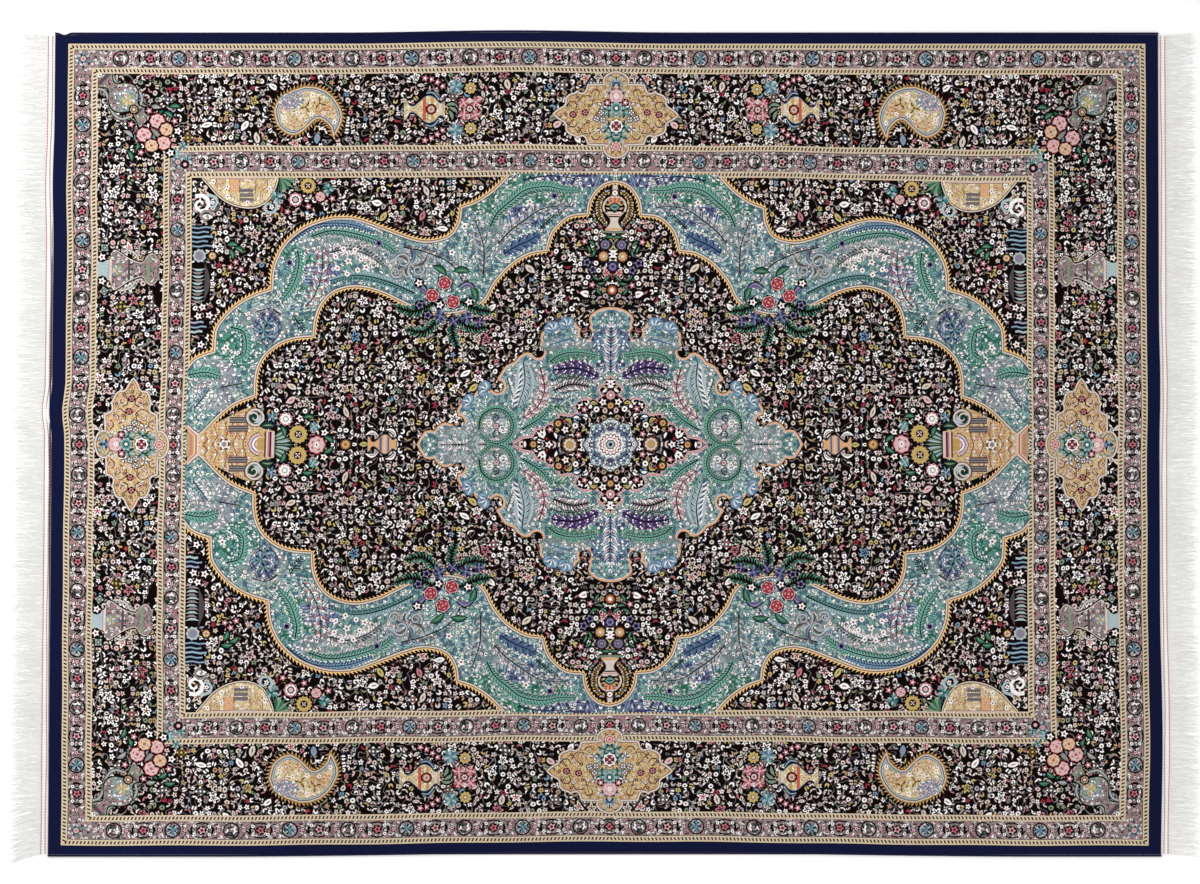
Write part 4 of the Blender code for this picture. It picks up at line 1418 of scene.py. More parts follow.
        cartoon.paint(scroll(5.6, 0.9, 1.8), Dye.CREAM, zone, volute + 1, 0.6)
        Bouquet((
            (Leaf(7.0, 7.0, 0.1, Dye.SPRUCE, Dye.SAGE), (341.4 + 18j,)),
            (Frond(6.6, (Dye.STEEL, Dye.TEAL, Dye.NAVY, Dye.MIST)), (337 + 27.6j,)),
            (Rosette(9.7, 14, (Dye.GOLD, Dye.STRAW, Dye.GOLD, Dye.STRAW, Dye.BROWN, Dye.BLUSH), 0.84),
             (311.1 + 10.4j,)),
            (Checker(2.8, Dye.IVORY, Dye.CRIMSON), (311.1 + 10.4j,)),
            (Rosette(7.7, 9, (Dye.ROSE, Dye.IVORY, Dye.IVORY, Dye.SAGE, Dye.IVORY), 0.74), (323.6 + 25.4j,)),
            (WHITE_FLORET, (309.2 + 26.2j, 285 + 12j)),
            (Frond(6.4, (Dye.TEAL, Dye.LAGOON, Dye.MIST)), (295.6 + 18.1j,)),
            (Rose(9.2, Dye.BLUSH, Dye.CRIMSON, Dye.IVORY), (292.7 + 0.4j,)),
            (GREEN_LEAF, (301 + 27j, 281 + 5j, 326 + 13j)),
            (Rosette(6.0, 9, (Dye.BROWN, Dye.GOLD, Dye.STRAW, Dye.CORAL), 0.8), (264 + 0j,)),
            (Leaf(4.5, 5.0, 0.0, Dye.STRAW, Dye.GREEN), (246 + 0j,)),
            (Leaf(6.5, 4.0, 0.2, Dye.IVORY, Dye.SMOKE), (238 + 9j, 219 + 11j)),
        ), 1.2).paint(cartoon, zone)
        bands = ((0.42, 0.50, Dye.STEEL), (0.56, 0.64, Dye.BLUSH), (0.70, 0.76, Dye.STEEL))
        Vase(28.0, ROUND_VASE, Dye.APRICOT, Dye.SMOKE, bands).paint(cartoon, zone, 242 + 0j, math.pi)

    def _rose_cluster(self, cartoon: Cartoon) -> None:
        """Paints the roses and blue flowers where the band narrows, over both zones."""
        zone = Zone.FIELD | Zone.BAND
        spray = Plume(8.0, (Dye.LAGOON, Dye.GREEN, Dye.SAGE), Dye.COAL, Dye.CREAM, 2.7, 1.7, halo=Dye.COAL)
        for route in (
            (160 + 128j, 140 + 116j, 124 + 116j), (168 + 128j, 186 + 112j, 204 + 114j),
            (158 + 126j, 158 + 110j, 154 + 98j), (176 + 140j, 196 + 132j, 214 + 136j),
            (150 + 142j, 134 + 134j, 120 + 132j),
        ):
            spray.paint(cartoon, zone, route)
        Bouquet((
            (Leaf(8.0, 5.4, 0.1, Dye.GREEN, Dye.SAGE), (150.5 + 171.2j, 172 + 172j, 138 + 150j)),
            (Leaf(8.0, 5.0, 0.2, Dye.LAVENDER, Dye.PLUM), (144.7 + 155.1j, 190 + 152j)),
            (Frond(8.6, (Dye.NAVY, Dye.PLUM, Dye.STEEL, Dye.LAVENDER), 15), (144 + 125.9j, 170.5 + 126.9j)),
            (Frond(6.6, (Dye.PLUM, Dye.NAVY, Dye.LAVENDER)), (157 + 122j, 131 + 121.4j)),
            (STAR_FLOWER, (191 + 138j, 183 + 128j)),
            (Rose(7.0, Dye.CRIMSON, Dye.BLUSH, Dye.CORAL), (166.6 + 159.6j, 157.9 + 141j, 178.8 + 147.5j)),
            (WHITE_FLORET, (142 + 141j, 171 + 138j, 192 + 160j)),
        ), 0.9).paint(cartoon, zone)


@dataclass
class Medallion:
    """The lobed medallion: plumes on blue-green round a black star and a rosette."""

    runs = (
        ((0 + 135.2j, 7 + 134.6j, 14 + 132j, 19.5 + 128j, 21.2 + 123.5j, 19.4 + 118.4j),),
        ((34 + 116.5j, 38.7 + 122.5j, 49.1 + 121.3j),
         (49.1 + 121.3j, 51.8 + 115j, 59.6 + 116.2j, 68.8 + 109.8j, 69 + 101.5j)),
        ((80.5 + 89.5j, 84.8 + 90.2j, 91.4 + 86.3j, 95.4 + 81.1j),
         (95.4 + 81.1j, 104.5 + 77.1j, 109.7 + 69.3j, 112.6 + 65.4j)),
        ((121.5 + 52j, 130.3 + 55.3j, 137.8 + 45.1j),
         (137.8 + 45.1j, 145.6 + 43.9j, 152 + 35j, 151.5 + 31.5j)),
        ((159.5 + 19.5j, 164.9 + 21.4j, 171.4 + 18.2j, 175.3 + 12.9j),
         (175.3 + 12.9j, 184.5 + 12.8j, 192.3 + 0j)),
    )
    bites = (25 + 110j, 73 + 92j, 113 + 57j, 151.5 + 22.5j)
    bite_radius = 7.2
    star_edge = (
        68.2j, 3.5 + 61.9j, 12.7 + 54.2j, 7.4 + 50.3j, 12.6 + 42.6j, 21.7 + 44j, 27 + 45.4j, 34.7 + 37.6j,
        32 + 31.2j, 41 + 28.5j, 50.2 + 29.7j, 54 + 21.9j, 63.1 + 19.1j, 64.4 + 13.9j, 73.5 + 15j,
        77.4 + 7.2j, 87.9 + 5.7j, 97.1 + 0j,
    )

    def paint(self, cartoon: Cartoon) -> None:
        """Paints it from the ground up."""
        zone = Zone.MEDALLION
        line = self._line()
        past_tip = 197 + 0j
        cartoon.ground(np.append(beside(line, 1.8), [past_tip, 0j]), Dye.COAL, zone)
        for by, dye in ((1.0, Dye.APRICOT), (-0.5, Dye.BLUSH), (-1.5, Dye.MEADOW)):
            cartoon.paint(np.append(beside(line, by), [past_tip, 0j] if by > 0 else 0j), dye, zone)
        paint_patches(cartoon, zone, (
            (0 + 95j, 22 + 24j, Dye.BLUE_MEADOW), (86 + 60j, 18 + 22j, Dye.PALE_MEADOW),
            (44 + 98j, 26 + 10j, Dye.PALE_MEADOW), (135 + 8j, 40 + 14j, Dye.PALE_MEADOW),
            (66 + 32j, 24 + 12j, Dye.GREEN_MEADOW), (34 + 86j, 30 + 6j, Dye.GREEN_MEADOW),
        ))
        self._plumes(cartoon)
        self._rim(cartoon)
        self._star(cartoon)

    def _line(self) -> Shape:
        """Its outline from the top round to the end, with a round bite out of it between two runs."""
        runs = [scallops(run, 2) for run in self.runs]
        parts = [runs[0]]
        for bite, run in zip(self.bites, runs[1:]):
            first, last = (np.angle(end - bite) for end in (parts[-1][-1], run[0]))
            sweep = np.linspace(first, last + 2 * math.pi, 10)
            parts += [bite + self.bite_radius * np.exp(1j * sweep), run]
        return np.concatenate(parts)

    def _rim(self, cartoon: Cartoon) -> None:
        """Paints the light blue palmettes that stand out over the rim."""
        zone = Zone.MEDALLION | Zone.FIELD
        rings = ((1.0, Dye.STEEL), (0.2, Dye.SKY), (-1.8, Dye.MIST), (-2.6, Dye.SKY))
        for centre in (44 + 117.5j, 58 + 113.5j, 124 + 54j, 139.5 + 41.5j):
            out = np.angle(centre)
            for turn in (-0.9, 0.0, 0.9):
                lobe = centre + 4.2 * np.exp(1j * (out + turn))
                cartoon.layers(disc(4.4, 9), zone, rings, lobe)
            for k in range(5):
                dye = Dye.STEEL if k % 2 else Dye.IVORY
                cartoon.paint(leaf(9.0, 1.2, 0.1, 2), dye, zone, centre, out + 0.45 * (k - 2))

    def _plumes(self, cartoon: Cartoon) -> None:
        """Paints the sprays along both axes, the plumes and the wreaths."""
        zone = Zone.MEDALLION
        purple = (Dye.LAVENDER, Dye.IVORY, Dye.PLUM)
        pink = (Dye.ROSE, Dye.IVORY, Dye.SMOKE)
        plumes = (
            (Plume(12.0, WHITES, Dye.NAVY, Dye.SKY, 2.8, 1.8), (71j, 94j, 117j)),
            (Plume(9.0, WHITES, Dye.COAL, None, 2.6, 1.8), (98 + 0j, 114 + 0j, 132 + 0j)),
            (Plume(8.0, WHITES, Dye.COAL, None, 2.6, 1.8), (145 + 0j, 156 + 0j, 170 + 0j)),
            (green_plume(6.0, Dye.SAGE, FINE_BARBS),
             (61.4 + 81.3j, 52.1 + 88.4j, 35.1 + 91.7j, 12.8 + 88.4j)),
            (Plume(5.0, (Dye.SKY, Dye.MIST, Dye.TEAL), Dye.STEEL), (60 + 99j, 44 + 104j, 36 + 103j)),
            (Plume(5.0, (Dye.SKY, Dye.IVORY, Dye.TEAL), Dye.STEEL), (18 + 112j, 12 + 104j, 10 + 95j)),
            (Plume(11.0, purple, Dye.MIDNIGHT, Dye.BLUSH, 2.5, 1.8, 0.9, Dye.PLUM, 3),
             (58.5 + 73.8j, 33.8 + 75.7j, 11.7 + 66.9j)),
            (Plume(9.5, WHITES, Dye.COAL, None, 2.7, 1.9, 0.8, Dye.SMOKE),
             (56.9 + 53.9j, 38.9 + 60j, 20.9 + 57.6j)),
            (Plume(4.0, (Dye.GREEN, Dye.SPRUCE), Dye.SPRUCE, None, 2.2), (60 + 64j, 40 + 67.5j, 18 + 63j)),
            (Plume(8.0, pink, Dye.WINE, Dye.BLUSH, 2.6, 2.0, 0.8, Dye.PEARL, 3),
             (70.6 + 74.7j, 66.1 + 55.3j, 72.2 + 38.4j, 86.5 + 26.2j)),
            (Plume(13.0, (Dye.SMOKE, Dye.IVORY, Dye.TEAL, Dye.NAVY), Dye.NAVY, None, 2.8, 1.6, 0.7, Dye.MIST),
             (87.6 + 80.8j, 86.1 + 60.2j, 92 + 38.1j)),
            (green_plume(5.0, None, FINE_BARBS), (88.5 + 14.4j, 69.6 + 26.2j, 58.8 + 39.4j)),
            (Plume(4.0, (Dye.LAVENDER, Dye.GREY, Dye.PLUM), Dye.PLUM, None, 2.2),
             (59.6 + 46.1j, 47.2 + 44.7j)),
            (Plume(4.8, (Dye.IVORY, Dye.LAGOON), Dye.SPRUCE), (104 + 66j, 101 + 56j, 98 + 48j)),
        )
        for plume, route in plumes:
            plume.paint(cartoon, zone, route)
        heart = 114 + 18j
        ring = [heart + 17.5 * np.exp(1j * a) for a in np.linspace(-0.2, 2 * math.pi - 0.4, 9)]
        green_plume(4.6, Dye.SAGE, FINE_BARBS).paint(cartoon, zone, ring)
        cartoon.paint(disc(12.6, 12), Dye.PALE_MEADOW, zone, heart)
        for k, spot in enumerate(round_about(7.6, 6, 0.4)):
            dye = (Dye.IVORY, Dye.COAL, Dye.MIST)[k % 3]
            cartoon.paint(scroll(4.4, 1.3, 1.3), dye, zone, heart + spot, 1.3 * k)
        Rosette(3.6, 6, (Dye.SMOKE, Dye.BLUSH, Dye.ROSE)).paint(cartoon, zone, heart)

    def _star(self, cartoon: Cartoon) -> None:
        """Paints the black star, its florets, and the rosette in its heart."""
        zone = Zone.MEDALLION
        rim = np.array(self.star_edge)
        places, headings = spaced(rim, 2.4)
        cartoon.paint(np.append(beside(rim, 1.6), 0j), Dye.ROSE, zone)
        for place, heading in zip(places, headings):
            cartoon.paint(np.array([-0.9 + 1.2j, 0.9 + 1.2j, 3.0j]), Dye.BLUSH, zone, place, heading)
        cartoon.paint(np.append(beside(rim, 0.4), 0j), Dye.BLUSH, zone)
        cartoon.paint(np.append(beside(rim, -0.6), 0j), Dye.VINE, zone)
        Bouquet((
            (Tulip(4.4, Dye.IVORY, Dye.WINE), (60j, 22 + 39j, 68 + 10j)),
            (Rosette(5.2, 8, (Dye.ROSE, Dye.BLUSH, Dye.CRIMSON, Dye.IVORY)), (49j,)),
            (Rosette(4.2, 7, (Dye.BROWN, Dye.STRAW, Dye.CORAL)), (38.5j, 52 + 21j, 77 + 0j)),
            (WHITE_FLORET, (7.6 + 42j, 29.5 + 38j, 45 + 15j, 61.5 + 0j)),
            (Leaf(4.2, 3.6, 0.2, Dye.STRAW, Dye.BROWN), (17 + 40j, 42 + 23j)),
            (Leaf(3.4, 2.8, 0.1, Dye.IVORY), (34 + 27j, 25 + 29j, 55 + 9j, 86 + 0j, 6 + 54j)),
            (Ring(3.0, Dye.IVORY, Dye.WINE), (35 + 19j, 14 + 35j)),
            (PINK_FLORET, (60 + 15j, 26 + 35j, 32 + 10j)),
            (Rosette(8.6, 10, (Dye.BROWN, Dye.CREAM, Dye.SAND, Dye.GOLD)), (40.5 + 0j,)),
        ), 1.0).paint(cartoon, zone)
        heart = (
            (28.0, 8, Dye.SMOKE, 0.86), (27.0, 8, Dye.MIST, 0.86), (25.6, 8, Dye.BLUE_MEADOW, 0.86),
            (17.0, 16, Dye.SMOKE, 0.8), (15.8, 16, Dye.MIST, 0.82), (13.6, 16, Dye.IVORY, 0.84),
            (11.6, 16, Dye.BROWN, 0.86), (10.4, 16, Dye.IVORY, 0.8), (8.4, 12, Dye.ROSE, 0.84),
            (7.2, 12, Dye.IVORY, 0.8), (5.4, 8, Dye.SMOKE, 0.8), (4.0, 8, Dye.MIST, 0.8),
            (2.0, 6, Dye.NAVY, 0.9),
        )
        for radius, tips, dye, depth in heart:
            cartoon.paint(star(radius, radius * depth, tips), dye, zone, 0j, 0.11 + radius / 40)
            if dye is Dye.BLUE_MEADOW:
                for k in range(25):
                    spot = (19.0 + 2.1 * (k % 3)) * np.exp(1j * (k * math.pi / 48))
                    knot = (Dye.IVORY, Dye.COAL, Dye.TEAL, Dye.IVORY)[k % 4]
                    cartoon.paint(disc(1.15, 4), knot, zone, spot)


def draw_cartoon() -> Cartoon:
    """Paints the whole quarter, from the edge inwards.

    Returns:
        The painted cartoon.
    """
    layout = BorderLayout()
    lines = FieldLines()
    cartoon = Cartoon()
    cartoon.ground(frame_shape(*layout.edge), Dye.NAVY, Zone.EDGE)
    shadow = (half + 0.9 for half in layout.outer_guard)
    cartoon.paint(frame_shape(*shadow), Dye.MIDNIGHT, Zone.EDGE)
    Guard(layout.outer_guard, layout.outer_guard_in, Zone.OUTER_GUARD).paint(cartoon)
    border = MainBorder(layout)
    border.paint(cartoon)
    Guard(layout.inner_guard, layout.inner_guard_in, Zone.INNER_GUARD).paint(cartoon)
    Corners(layout).paint(cartoon)
    TealBand(lines).paint(cartoon)
    Middle(lines).paint(cartoon)
    Medallion().paint(cartoon)
    border.paint_over(cartoon)
    return cartoon


# ---------------------------------------------------------------- from the cartoon to the floor


def hump(place: np.ndarray, at: float, half: float) -> np.ndarray:
    """One smooth hump of height 1 round a place, and 0 beyond its half length."""
    away = np.minimum(np.abs(place - at) / half, 1.0)
    return (1.0 + np.cos(np.pi * away)) / 2.0


def lie(u: np.ndarray, v: np.ndarray) -> tuple[np.ndarray, np.ndarray]:
    """The places on the floor, in metres, of places on the carpet, in squares from its middle."""
    u, v = np.asarray(u, dtype=float), np.asarray(v, dtype=float)
    x = u - TAPER * u * v / HALF_V + LEAN * v / HALF_V
    y = v + ORIGIN_SHIFT_V + np.minimum(v, 0.0) * LOWER_STRETCH / HALF_V
    depths = {"left": HALF_U + u, "right": HALF_U - u, "top": HALF_V - v, "bottom": HALF_V + v}
    for wave in EDGE_WAVES:
        fading = hump(np.maximum(depths[wave["edge"]], 0.0), 0.0, wave["reach"])
        if wave["edge"] in ("left", "right"):
            x = x + wave["by"] * hump(v, wave["at"], wave["half"]) * fading
        else:
            y = y + wave["by"] * hump(u, wave["at"], wave["half"]) * fading
    return x * SQUARE, y * SQUARE


def settle(s: np.ndarray, t: np.ndarray) -> tuple[np.ndarray, np.ndarray]:
    """The places on the floor of places in the pattern, which strays a little on the carpet."""
    clear_u = np.maximum(1.0 - (s / HALF_U) ** 2, 0.0)
    clear_v = np.maximum(1.0 - (t / BODY_HALF_V) ** 2, 0.0)
    u = s + PATTERN_SHIFT_U * clear_u
    v = t + (PATTERN_SHIFT_V + PATTERN_STRETCH_V * t) * clear_v
    edge = np.minimum(np.minimum(HALF_U - np.abs(s), BODY_HALF_V - np.abs(t)) / PATTERN_MARGIN, 1.0)
    for wave in PATTERN_WAVES:
        share = hump(s, wave["at"][0], wave["half"][0]) * hump(t, wave["at"][1], wave["half"][1]) * edge
        u = u + wave["by"][0] * share
        v = v + wave["by"][1] * share
    u = u + PATTERN_TREMOR * np.sin(t / 17.0 + 0.4) * np.sin(s / 61.0) * edge
    v = v + PATTERN_TREMOR * np.sin(s / 21.0) * np.sin(t / 47.0 + 1.0) * edge
    return lie(u, v)


def rise(x: np.ndarray, y: np.ndarray) -> np.ndarray:
    """How far the carpet lifts off the floor in its low ripples, in metres."""
    height = np.zeros_like(x)
    for ripple in RIPPLES:
        start, end = complex(*ripple["start"]), complex(*ripple["end"])
        along = (x + 1j * y - start) / (end - start)
        across = np.abs(along.imag) * abs(end - start)
        share = hump(across, 0.0, ripple["half"]) * hump(along.real, *RIPPLE_CREST)
        height = height + ripple["height"] * share
    return height


# ---------------------------------------------------------------- finishes


PITCH_UNIT = 10.0  # squares that a whole share in the "dye" layer stands for


def as_light(colour: tuple[int, int, int]) -> tuple[float, float, float, float]:
    """A colour of 8-bit values as light."""
    shares = [value / 255.0 for value in colour]
    return (*(s / 12.92 if s <= 0.04045 else ((s + 0.055) / 1.055) ** 2.4 for s in shares), 1.0)


class Signal:
    """A number worked out in a shader, which is reckoned with like any number."""

    def __init__(self, sheet: "NodeSheet", socket: bpy.types.NodeSocket) -> None:
        """Stands for one socket on a sheet of nodes."""
        self.sheet = sheet
        self.socket = socket

    def sum(self, operation: str, *others: object) -> "Signal":
        """The result of a sum that starts with this number."""
        return self.sheet.sum(operation, self, *others)

    def __add__(self, other: object) -> "Signal":
        """This number and another."""
        return self.sum("ADD", other)

    def __sub__(self, other: object) -> "Signal":
        """This number less another."""
        return self.sum("SUBTRACT", other)

    def __rsub__(self, other: float) -> "Signal":
        """A plain number less this one."""
        return self.sheet.sum("SUBTRACT", other, self)

    def __mul__(self, other: object) -> "Signal":
        """This number times another."""
        return self.sum("MULTIPLY", other)

    def __rtruediv__(self, other: float) -> "Signal":
        """A plain number over this one."""
        return self.sheet.sum("DIVIDE", other, self)

    def __abs__(self) -> "Signal":
        """This number without its sign."""
        return self.sum("ABSOLUTE")

    def least(self, other: object) -> "Signal":
        """The smaller of this number and another."""
        return self.sum("MINIMUM", other)

    def above(self, other: float) -> "Signal":
        """1 where this number is above another, and else 0."""
        return self.sum("GREATER_THAN", other)

    def rising(self, low: float, high: float) -> "Signal":
        """0 up to a low value and 1 from a high one."""
        node = self.sheet.add("ShaderNodeMapRange", {"Value": self, "From Min": low, "From Max": high})
        return Signal(self.sheet, node.outputs[0])

    def instead(self, mask: "Signal", other: "Signal") -> "Signal":
        """Another number where a mask is 1, and this one elsewhere."""
        node = self.sheet.add("ShaderNodeMix", {0: mask, 2: self, 3: other}, data_type="FLOAT")
        return Signal(self.sheet, node.outputs[0])


class NodeSheet:
    """A short way to lay out shader nodes and join them."""

    def __init__(self, tree: bpy.types.NodeTree) -> None:
        """Works on one tree."""
        self.tree = tree

    def add(self, kind: str, inputs: dict | None = None, **settings: object) -> bpy.types.Node:
        """Adds a node.

        Args:
            kind: the node's type.
            inputs: socket names or numbers, to a value or to a socket or signal that feeds them.
            settings: the node's own properties.

        Returns:
            The node.
        """
        node = self.tree.nodes.new(kind)
        for key, value in settings.items():
            setattr(node, key, value)
        self.feed(node.inputs, inputs or {})
        return node

    def feed(self, sockets: Sequence, values: dict) -> None:
        """Sets sockets by name or number to a value, or to a socket or signal that feeds them."""
        for key, value in values.items():
            value = value.socket if isinstance(value, Signal) else value
            if isinstance(value, bpy.types.NodeSocket):
                self.tree.links.new(value, sockets[key])
            else:
                sockets[key].default_value = value

    def group(self, tree: bpy.types.NodeTree, inputs: dict) -> Sequence:
        """What a shader group makes of its inputs."""
        return self.add("ShaderNodeGroup", inputs, node_tree=tree).outputs

    def noise(self, place: object, scale: object, detail: float = 0.0, **others: object) -> Sequence:
        """What a noise texture gives: its share and its colour."""
        inputs = {"Vector": place, "Scale": scale, "Detail": detail, **others}
        return self.add("ShaderNodeTexNoise", inputs).outputs

    def cells(self, place: object, scale: object, randomness: float, feature: str = "F1") -> Sequence:
        """What flat cells strewn over a ground give."""
        inputs = {"Vector": place, "Scale": scale, "Randomness": randomness}
        return self.add("ShaderNodeTexVoronoi", inputs, voronoi_dimensions="2D", feature=feature).outputs

    def vector(self, operation: str, inputs: dict) -> bpy.types.NodeSocket:
        """The result of a sum on places."""
        return self.add("ShaderNodeVectorMath", inputs, operation=operation).outputs[0]

    def turned(self, place: object, share: Signal) -> list[Signal]:
        """The three parts of a place that is turned about its origin by a share of a whole turn."""
        inputs = {"Vector": place, "Angle": share * 2 * math.pi}
        node = self.add("ShaderNodeVectorRotate", inputs, rotation_type="Z_AXIS")
        return self.parts("XYZ", node.outputs[0])

    def mix(self, share: object, first: object, second: object) -> bpy.types.NodeSocket:
        """A blend of two colours."""
        return self.add("ShaderNodeMix", {0: share, 6: first, 7: second}, data_type="RGBA").outputs[2]

    def sum(self, operation: str, *values: object) -> Signal:
        """The result of a sum on signals or numbers."""
        node = self.add("ShaderNodeMath", dict(enumerate(values)), operation=operation)
        return Signal(self, node.outputs[0])

    def parts(self, kind: str, socket: bpy.types.NodeSocket) -> list[Signal]:
        """The three parts of a colour ("Color") or a place ("XYZ")."""
        node = self.add(f"ShaderNodeSeparate{kind}", {0: socket})
        return [Signal(self, output) for output in node.outputs]

    def palette(self, pick: Signal, steps: Sequence[tuple[float, Dye]]) -> bpy.types.NodeSocket:
        """One of several dyes: each row's dye up to the share it ends at."""
        node = self.add("ShaderNodeValToRGB", {0: pick})
        ramp = node.color_ramp
        ramp.interpolation = "CONSTANT"
        start = 0.0
        for k, (end, dye) in enumerate(steps):
            element = ramp.elements[k] if k < 1 else ramp.elements.new(start)
            element.position = start
            element.color = as_light(dye.value)
            start = end
        ramp.elements.remove(ramp.elements[-1])
        return node.outputs[0]


def new_group(name: str, inputs: dict[str, str], outputs: dict[str, str]) -> tuple[NodeSheet, object, object]:
    """Starts a shader group.

    Args:
        name: the group's name.
        inputs: each input's name and kind.
        outputs: each output's name and kind.

    Returns:
        The group's sheet, what it is given, and what it passes on.
    """
    tree = bpy.data.node_groups.new(name, "ShaderNodeTree")
    for names, way in ((inputs, "INPUT"), (outputs, "OUTPUT")):
        for socket, kind in names.items():
            tree.interface.new_socket(socket, in_out=way, socket_type=f"NodeSocket{kind}")
    sheet = NodeSheet(tree)
    return sheet, sheet.add("NodeGroupInput").outputs, sheet.add("NodeGroupOutput").inputs


def motif_group() -> bpy.types.NodeTree:
    """Motifs strewn over a ground, one to a cell, from places and a pitch in squares.

    Bent leaves, commas, blossoms, rings and pairs of leaves follow from each cell's own chance. Bold passes
    the large kinds instead: blossoms and buds with a heart, and lozenges of nine dots. All sizes are shares
    of the pitch.
    """
    sheet, given, result = new_group(
        "motifs",
        {"Place": "Vector", "Pitch": "Float", "Bold": "Float"},
        {"Petal": "Float", "Edge": "Float", "Heart": "Float", "Near": "Float", "Chance": "Color"},
    )
    place, bold = given["Place"], Signal(sheet, given["Bold"])
    scale = 1.0 / Signal(sheet, given["Pitch"])
    cells = sheet.cells(place, scale, 0.72)
    walls = sheet.cells(place, scale, 0.72, "DISTANCE_TO_EDGE")
    turn, kind, _ = sheet.parts("Color", cells["Color"])
    away = sheet.vector("SUBTRACT", {0: place, 1: cells["Position"]})
    offset = sheet.vector("SCALE", {0: away, "Scale": scale})
    x, y, _ = sheet.turned(offset, turn)
    radius = (x * x + y * y).sum("SQRT")
    angle = y.sum("ARCTAN2", x)
    bite_x, bite_y = x - 0.10, y - 0.24
    comma = (0.42 - radius).least((bite_x * bite_x + bite_y * bite_y).sum("SQRT") - 0.26)
    blossom = ((angle * 5.0).sum("COSINE") * 0.11 + 0.34) - radius
    bent = 0.175 - abs(y + x * x * 0.8 - 0.09) - x * x * 0.5
    bud = 0.22 - abs(x) - y * y * 1.1
    twin = abs(x) - 0.22
    pair = 0.155 - (twin * twin + y * y * 0.2).sum("SQRT")
    ring = (0.38 - radius).least(radius - 0.14)
    small = bent.instead(kind.above(0.38), comma).instead(kind.above(0.52), blossom)
    small = small.instead(kind.above(0.72), ring).instead(kind.above(0.88), pair)
    over, up, _ = sheet.parts("XYZ", offset)
    u, v = (over + up) * 0.72, (over - up) * 0.72
    step = 0.215
    dots = [0.08 - abs(w.sum("WRAP", step / 2, -step / 2)) for w in (u, v)]
    rows = [(w * (1 / step)).sum("ROUND") for w in (u, v)]
    lattice = dots[0].least(dots[1]).least(0.32 - abs(u)).least(0.32 - abs(v))
    odd = (rows[0] + rows[1]).sum("PINGPONG", 1.0)
    shape = blossom.instead(kind.above(0.6), bud)
    is_lattice = kind.above(0.78)
    large = shape.instead(is_lattice, lattice)
    form = small.instead(bold, large).least(Signal(sheet, walls["Distance"]) - 0.065)
    petal = form.rising(-0.01, 0.025)
    heart = (shape - 0.17).instead(is_lattice, odd - 0.5).rising(-0.02, 0.03) * petal
    dot = (0.13 - radius).rising(-0.02, 0.03)
    sheet.feed(result, {
        "Petal": petal, "Edge": form.rising(-0.15, -0.11), "Heart": dot.instead(bold, heart), "Near": radius,
        "Chance": cells["Color"],
    })
    return sheet.tree


# Dyes of the strewn motifs and ferns, each up to a share of their chance; and pitches, in squares
SMALL_VINE_DYES = (
    (0.34, Dye.IVORY), (0.58, Dye.CREAM), (0.68, Dye.PEARL), (0.74, Dye.SAND), (0.83, Dye.BLUSH),
    (0.88, Dye.STRAW), (0.92, Dye.ROSE), (0.94, Dye.CRIMSON), (0.96, Dye.SKY), (1.0, Dye.SAGE),
)
LARGE_VINE_DYES = (
    (0.48, Dye.IVORY), (0.72, Dye.CREAM), (0.83, Dye.BLUSH),
    (0.90, Dye.STRAW), (0.97, Dye.ROSE), (1.0, Dye.SKY),
)
HEART_DYES = ((0.18, Dye.CRIMSON), (0.45, Dye.BROWN), (0.84, Dye.COAL), (0.92, Dye.CORAL), (1.0, Dye.NAVY))
FERN_DYES = (
    (0.14, Dye.LAGOON), (0.42, Dye.MIST), (0.52, Dye.TEAL), (0.64, Dye.SKY), (0.72, Dye.GREEN),
    (0.8, Dye.LAVENDER), (0.9, Dye.CREAM), (1.0, Dye.MIST),
)
LARGE_PITCH = 13.0
FERN_PITCH = 17.0


def fern_group() -> bpy.types.NodeTree:
    """Palm leaves that meet edge to edge, from places in squares: their light barbs and dark lines."""
    sheet, given, result = new_group(
        "ferns", {"Place": "Vector"}, {"Barb": "Float", "Line": "Float", "Chance": "Float"}
    )
    cells = sheet.cells(given["Place"], 1 / FERN_PITCH, 0.9)
    turn, _, chance = sheet.parts("Color", cells["Color"])
    away = sheet.vector("SUBTRACT", {0: given["Place"], 1: cells["Position"]})
    along, across, _ = sheet.turned(away, turn)
    aside = abs(across + along * along * 0.018)
    barb = (along * 0.24 + aside * 0.20).sum("PINGPONG", 0.5)
    spine = 1.0 - aside.rising(0.4, 0.8)
    line = (1.0 - barb.rising(0.08, 0.17)).sum("MAXIMUM", spine)
    sheet.feed(result, {"Barb": barb.rising(0.24, 0.32), "Line": line, "Chance": chance})
    return sheet.tree


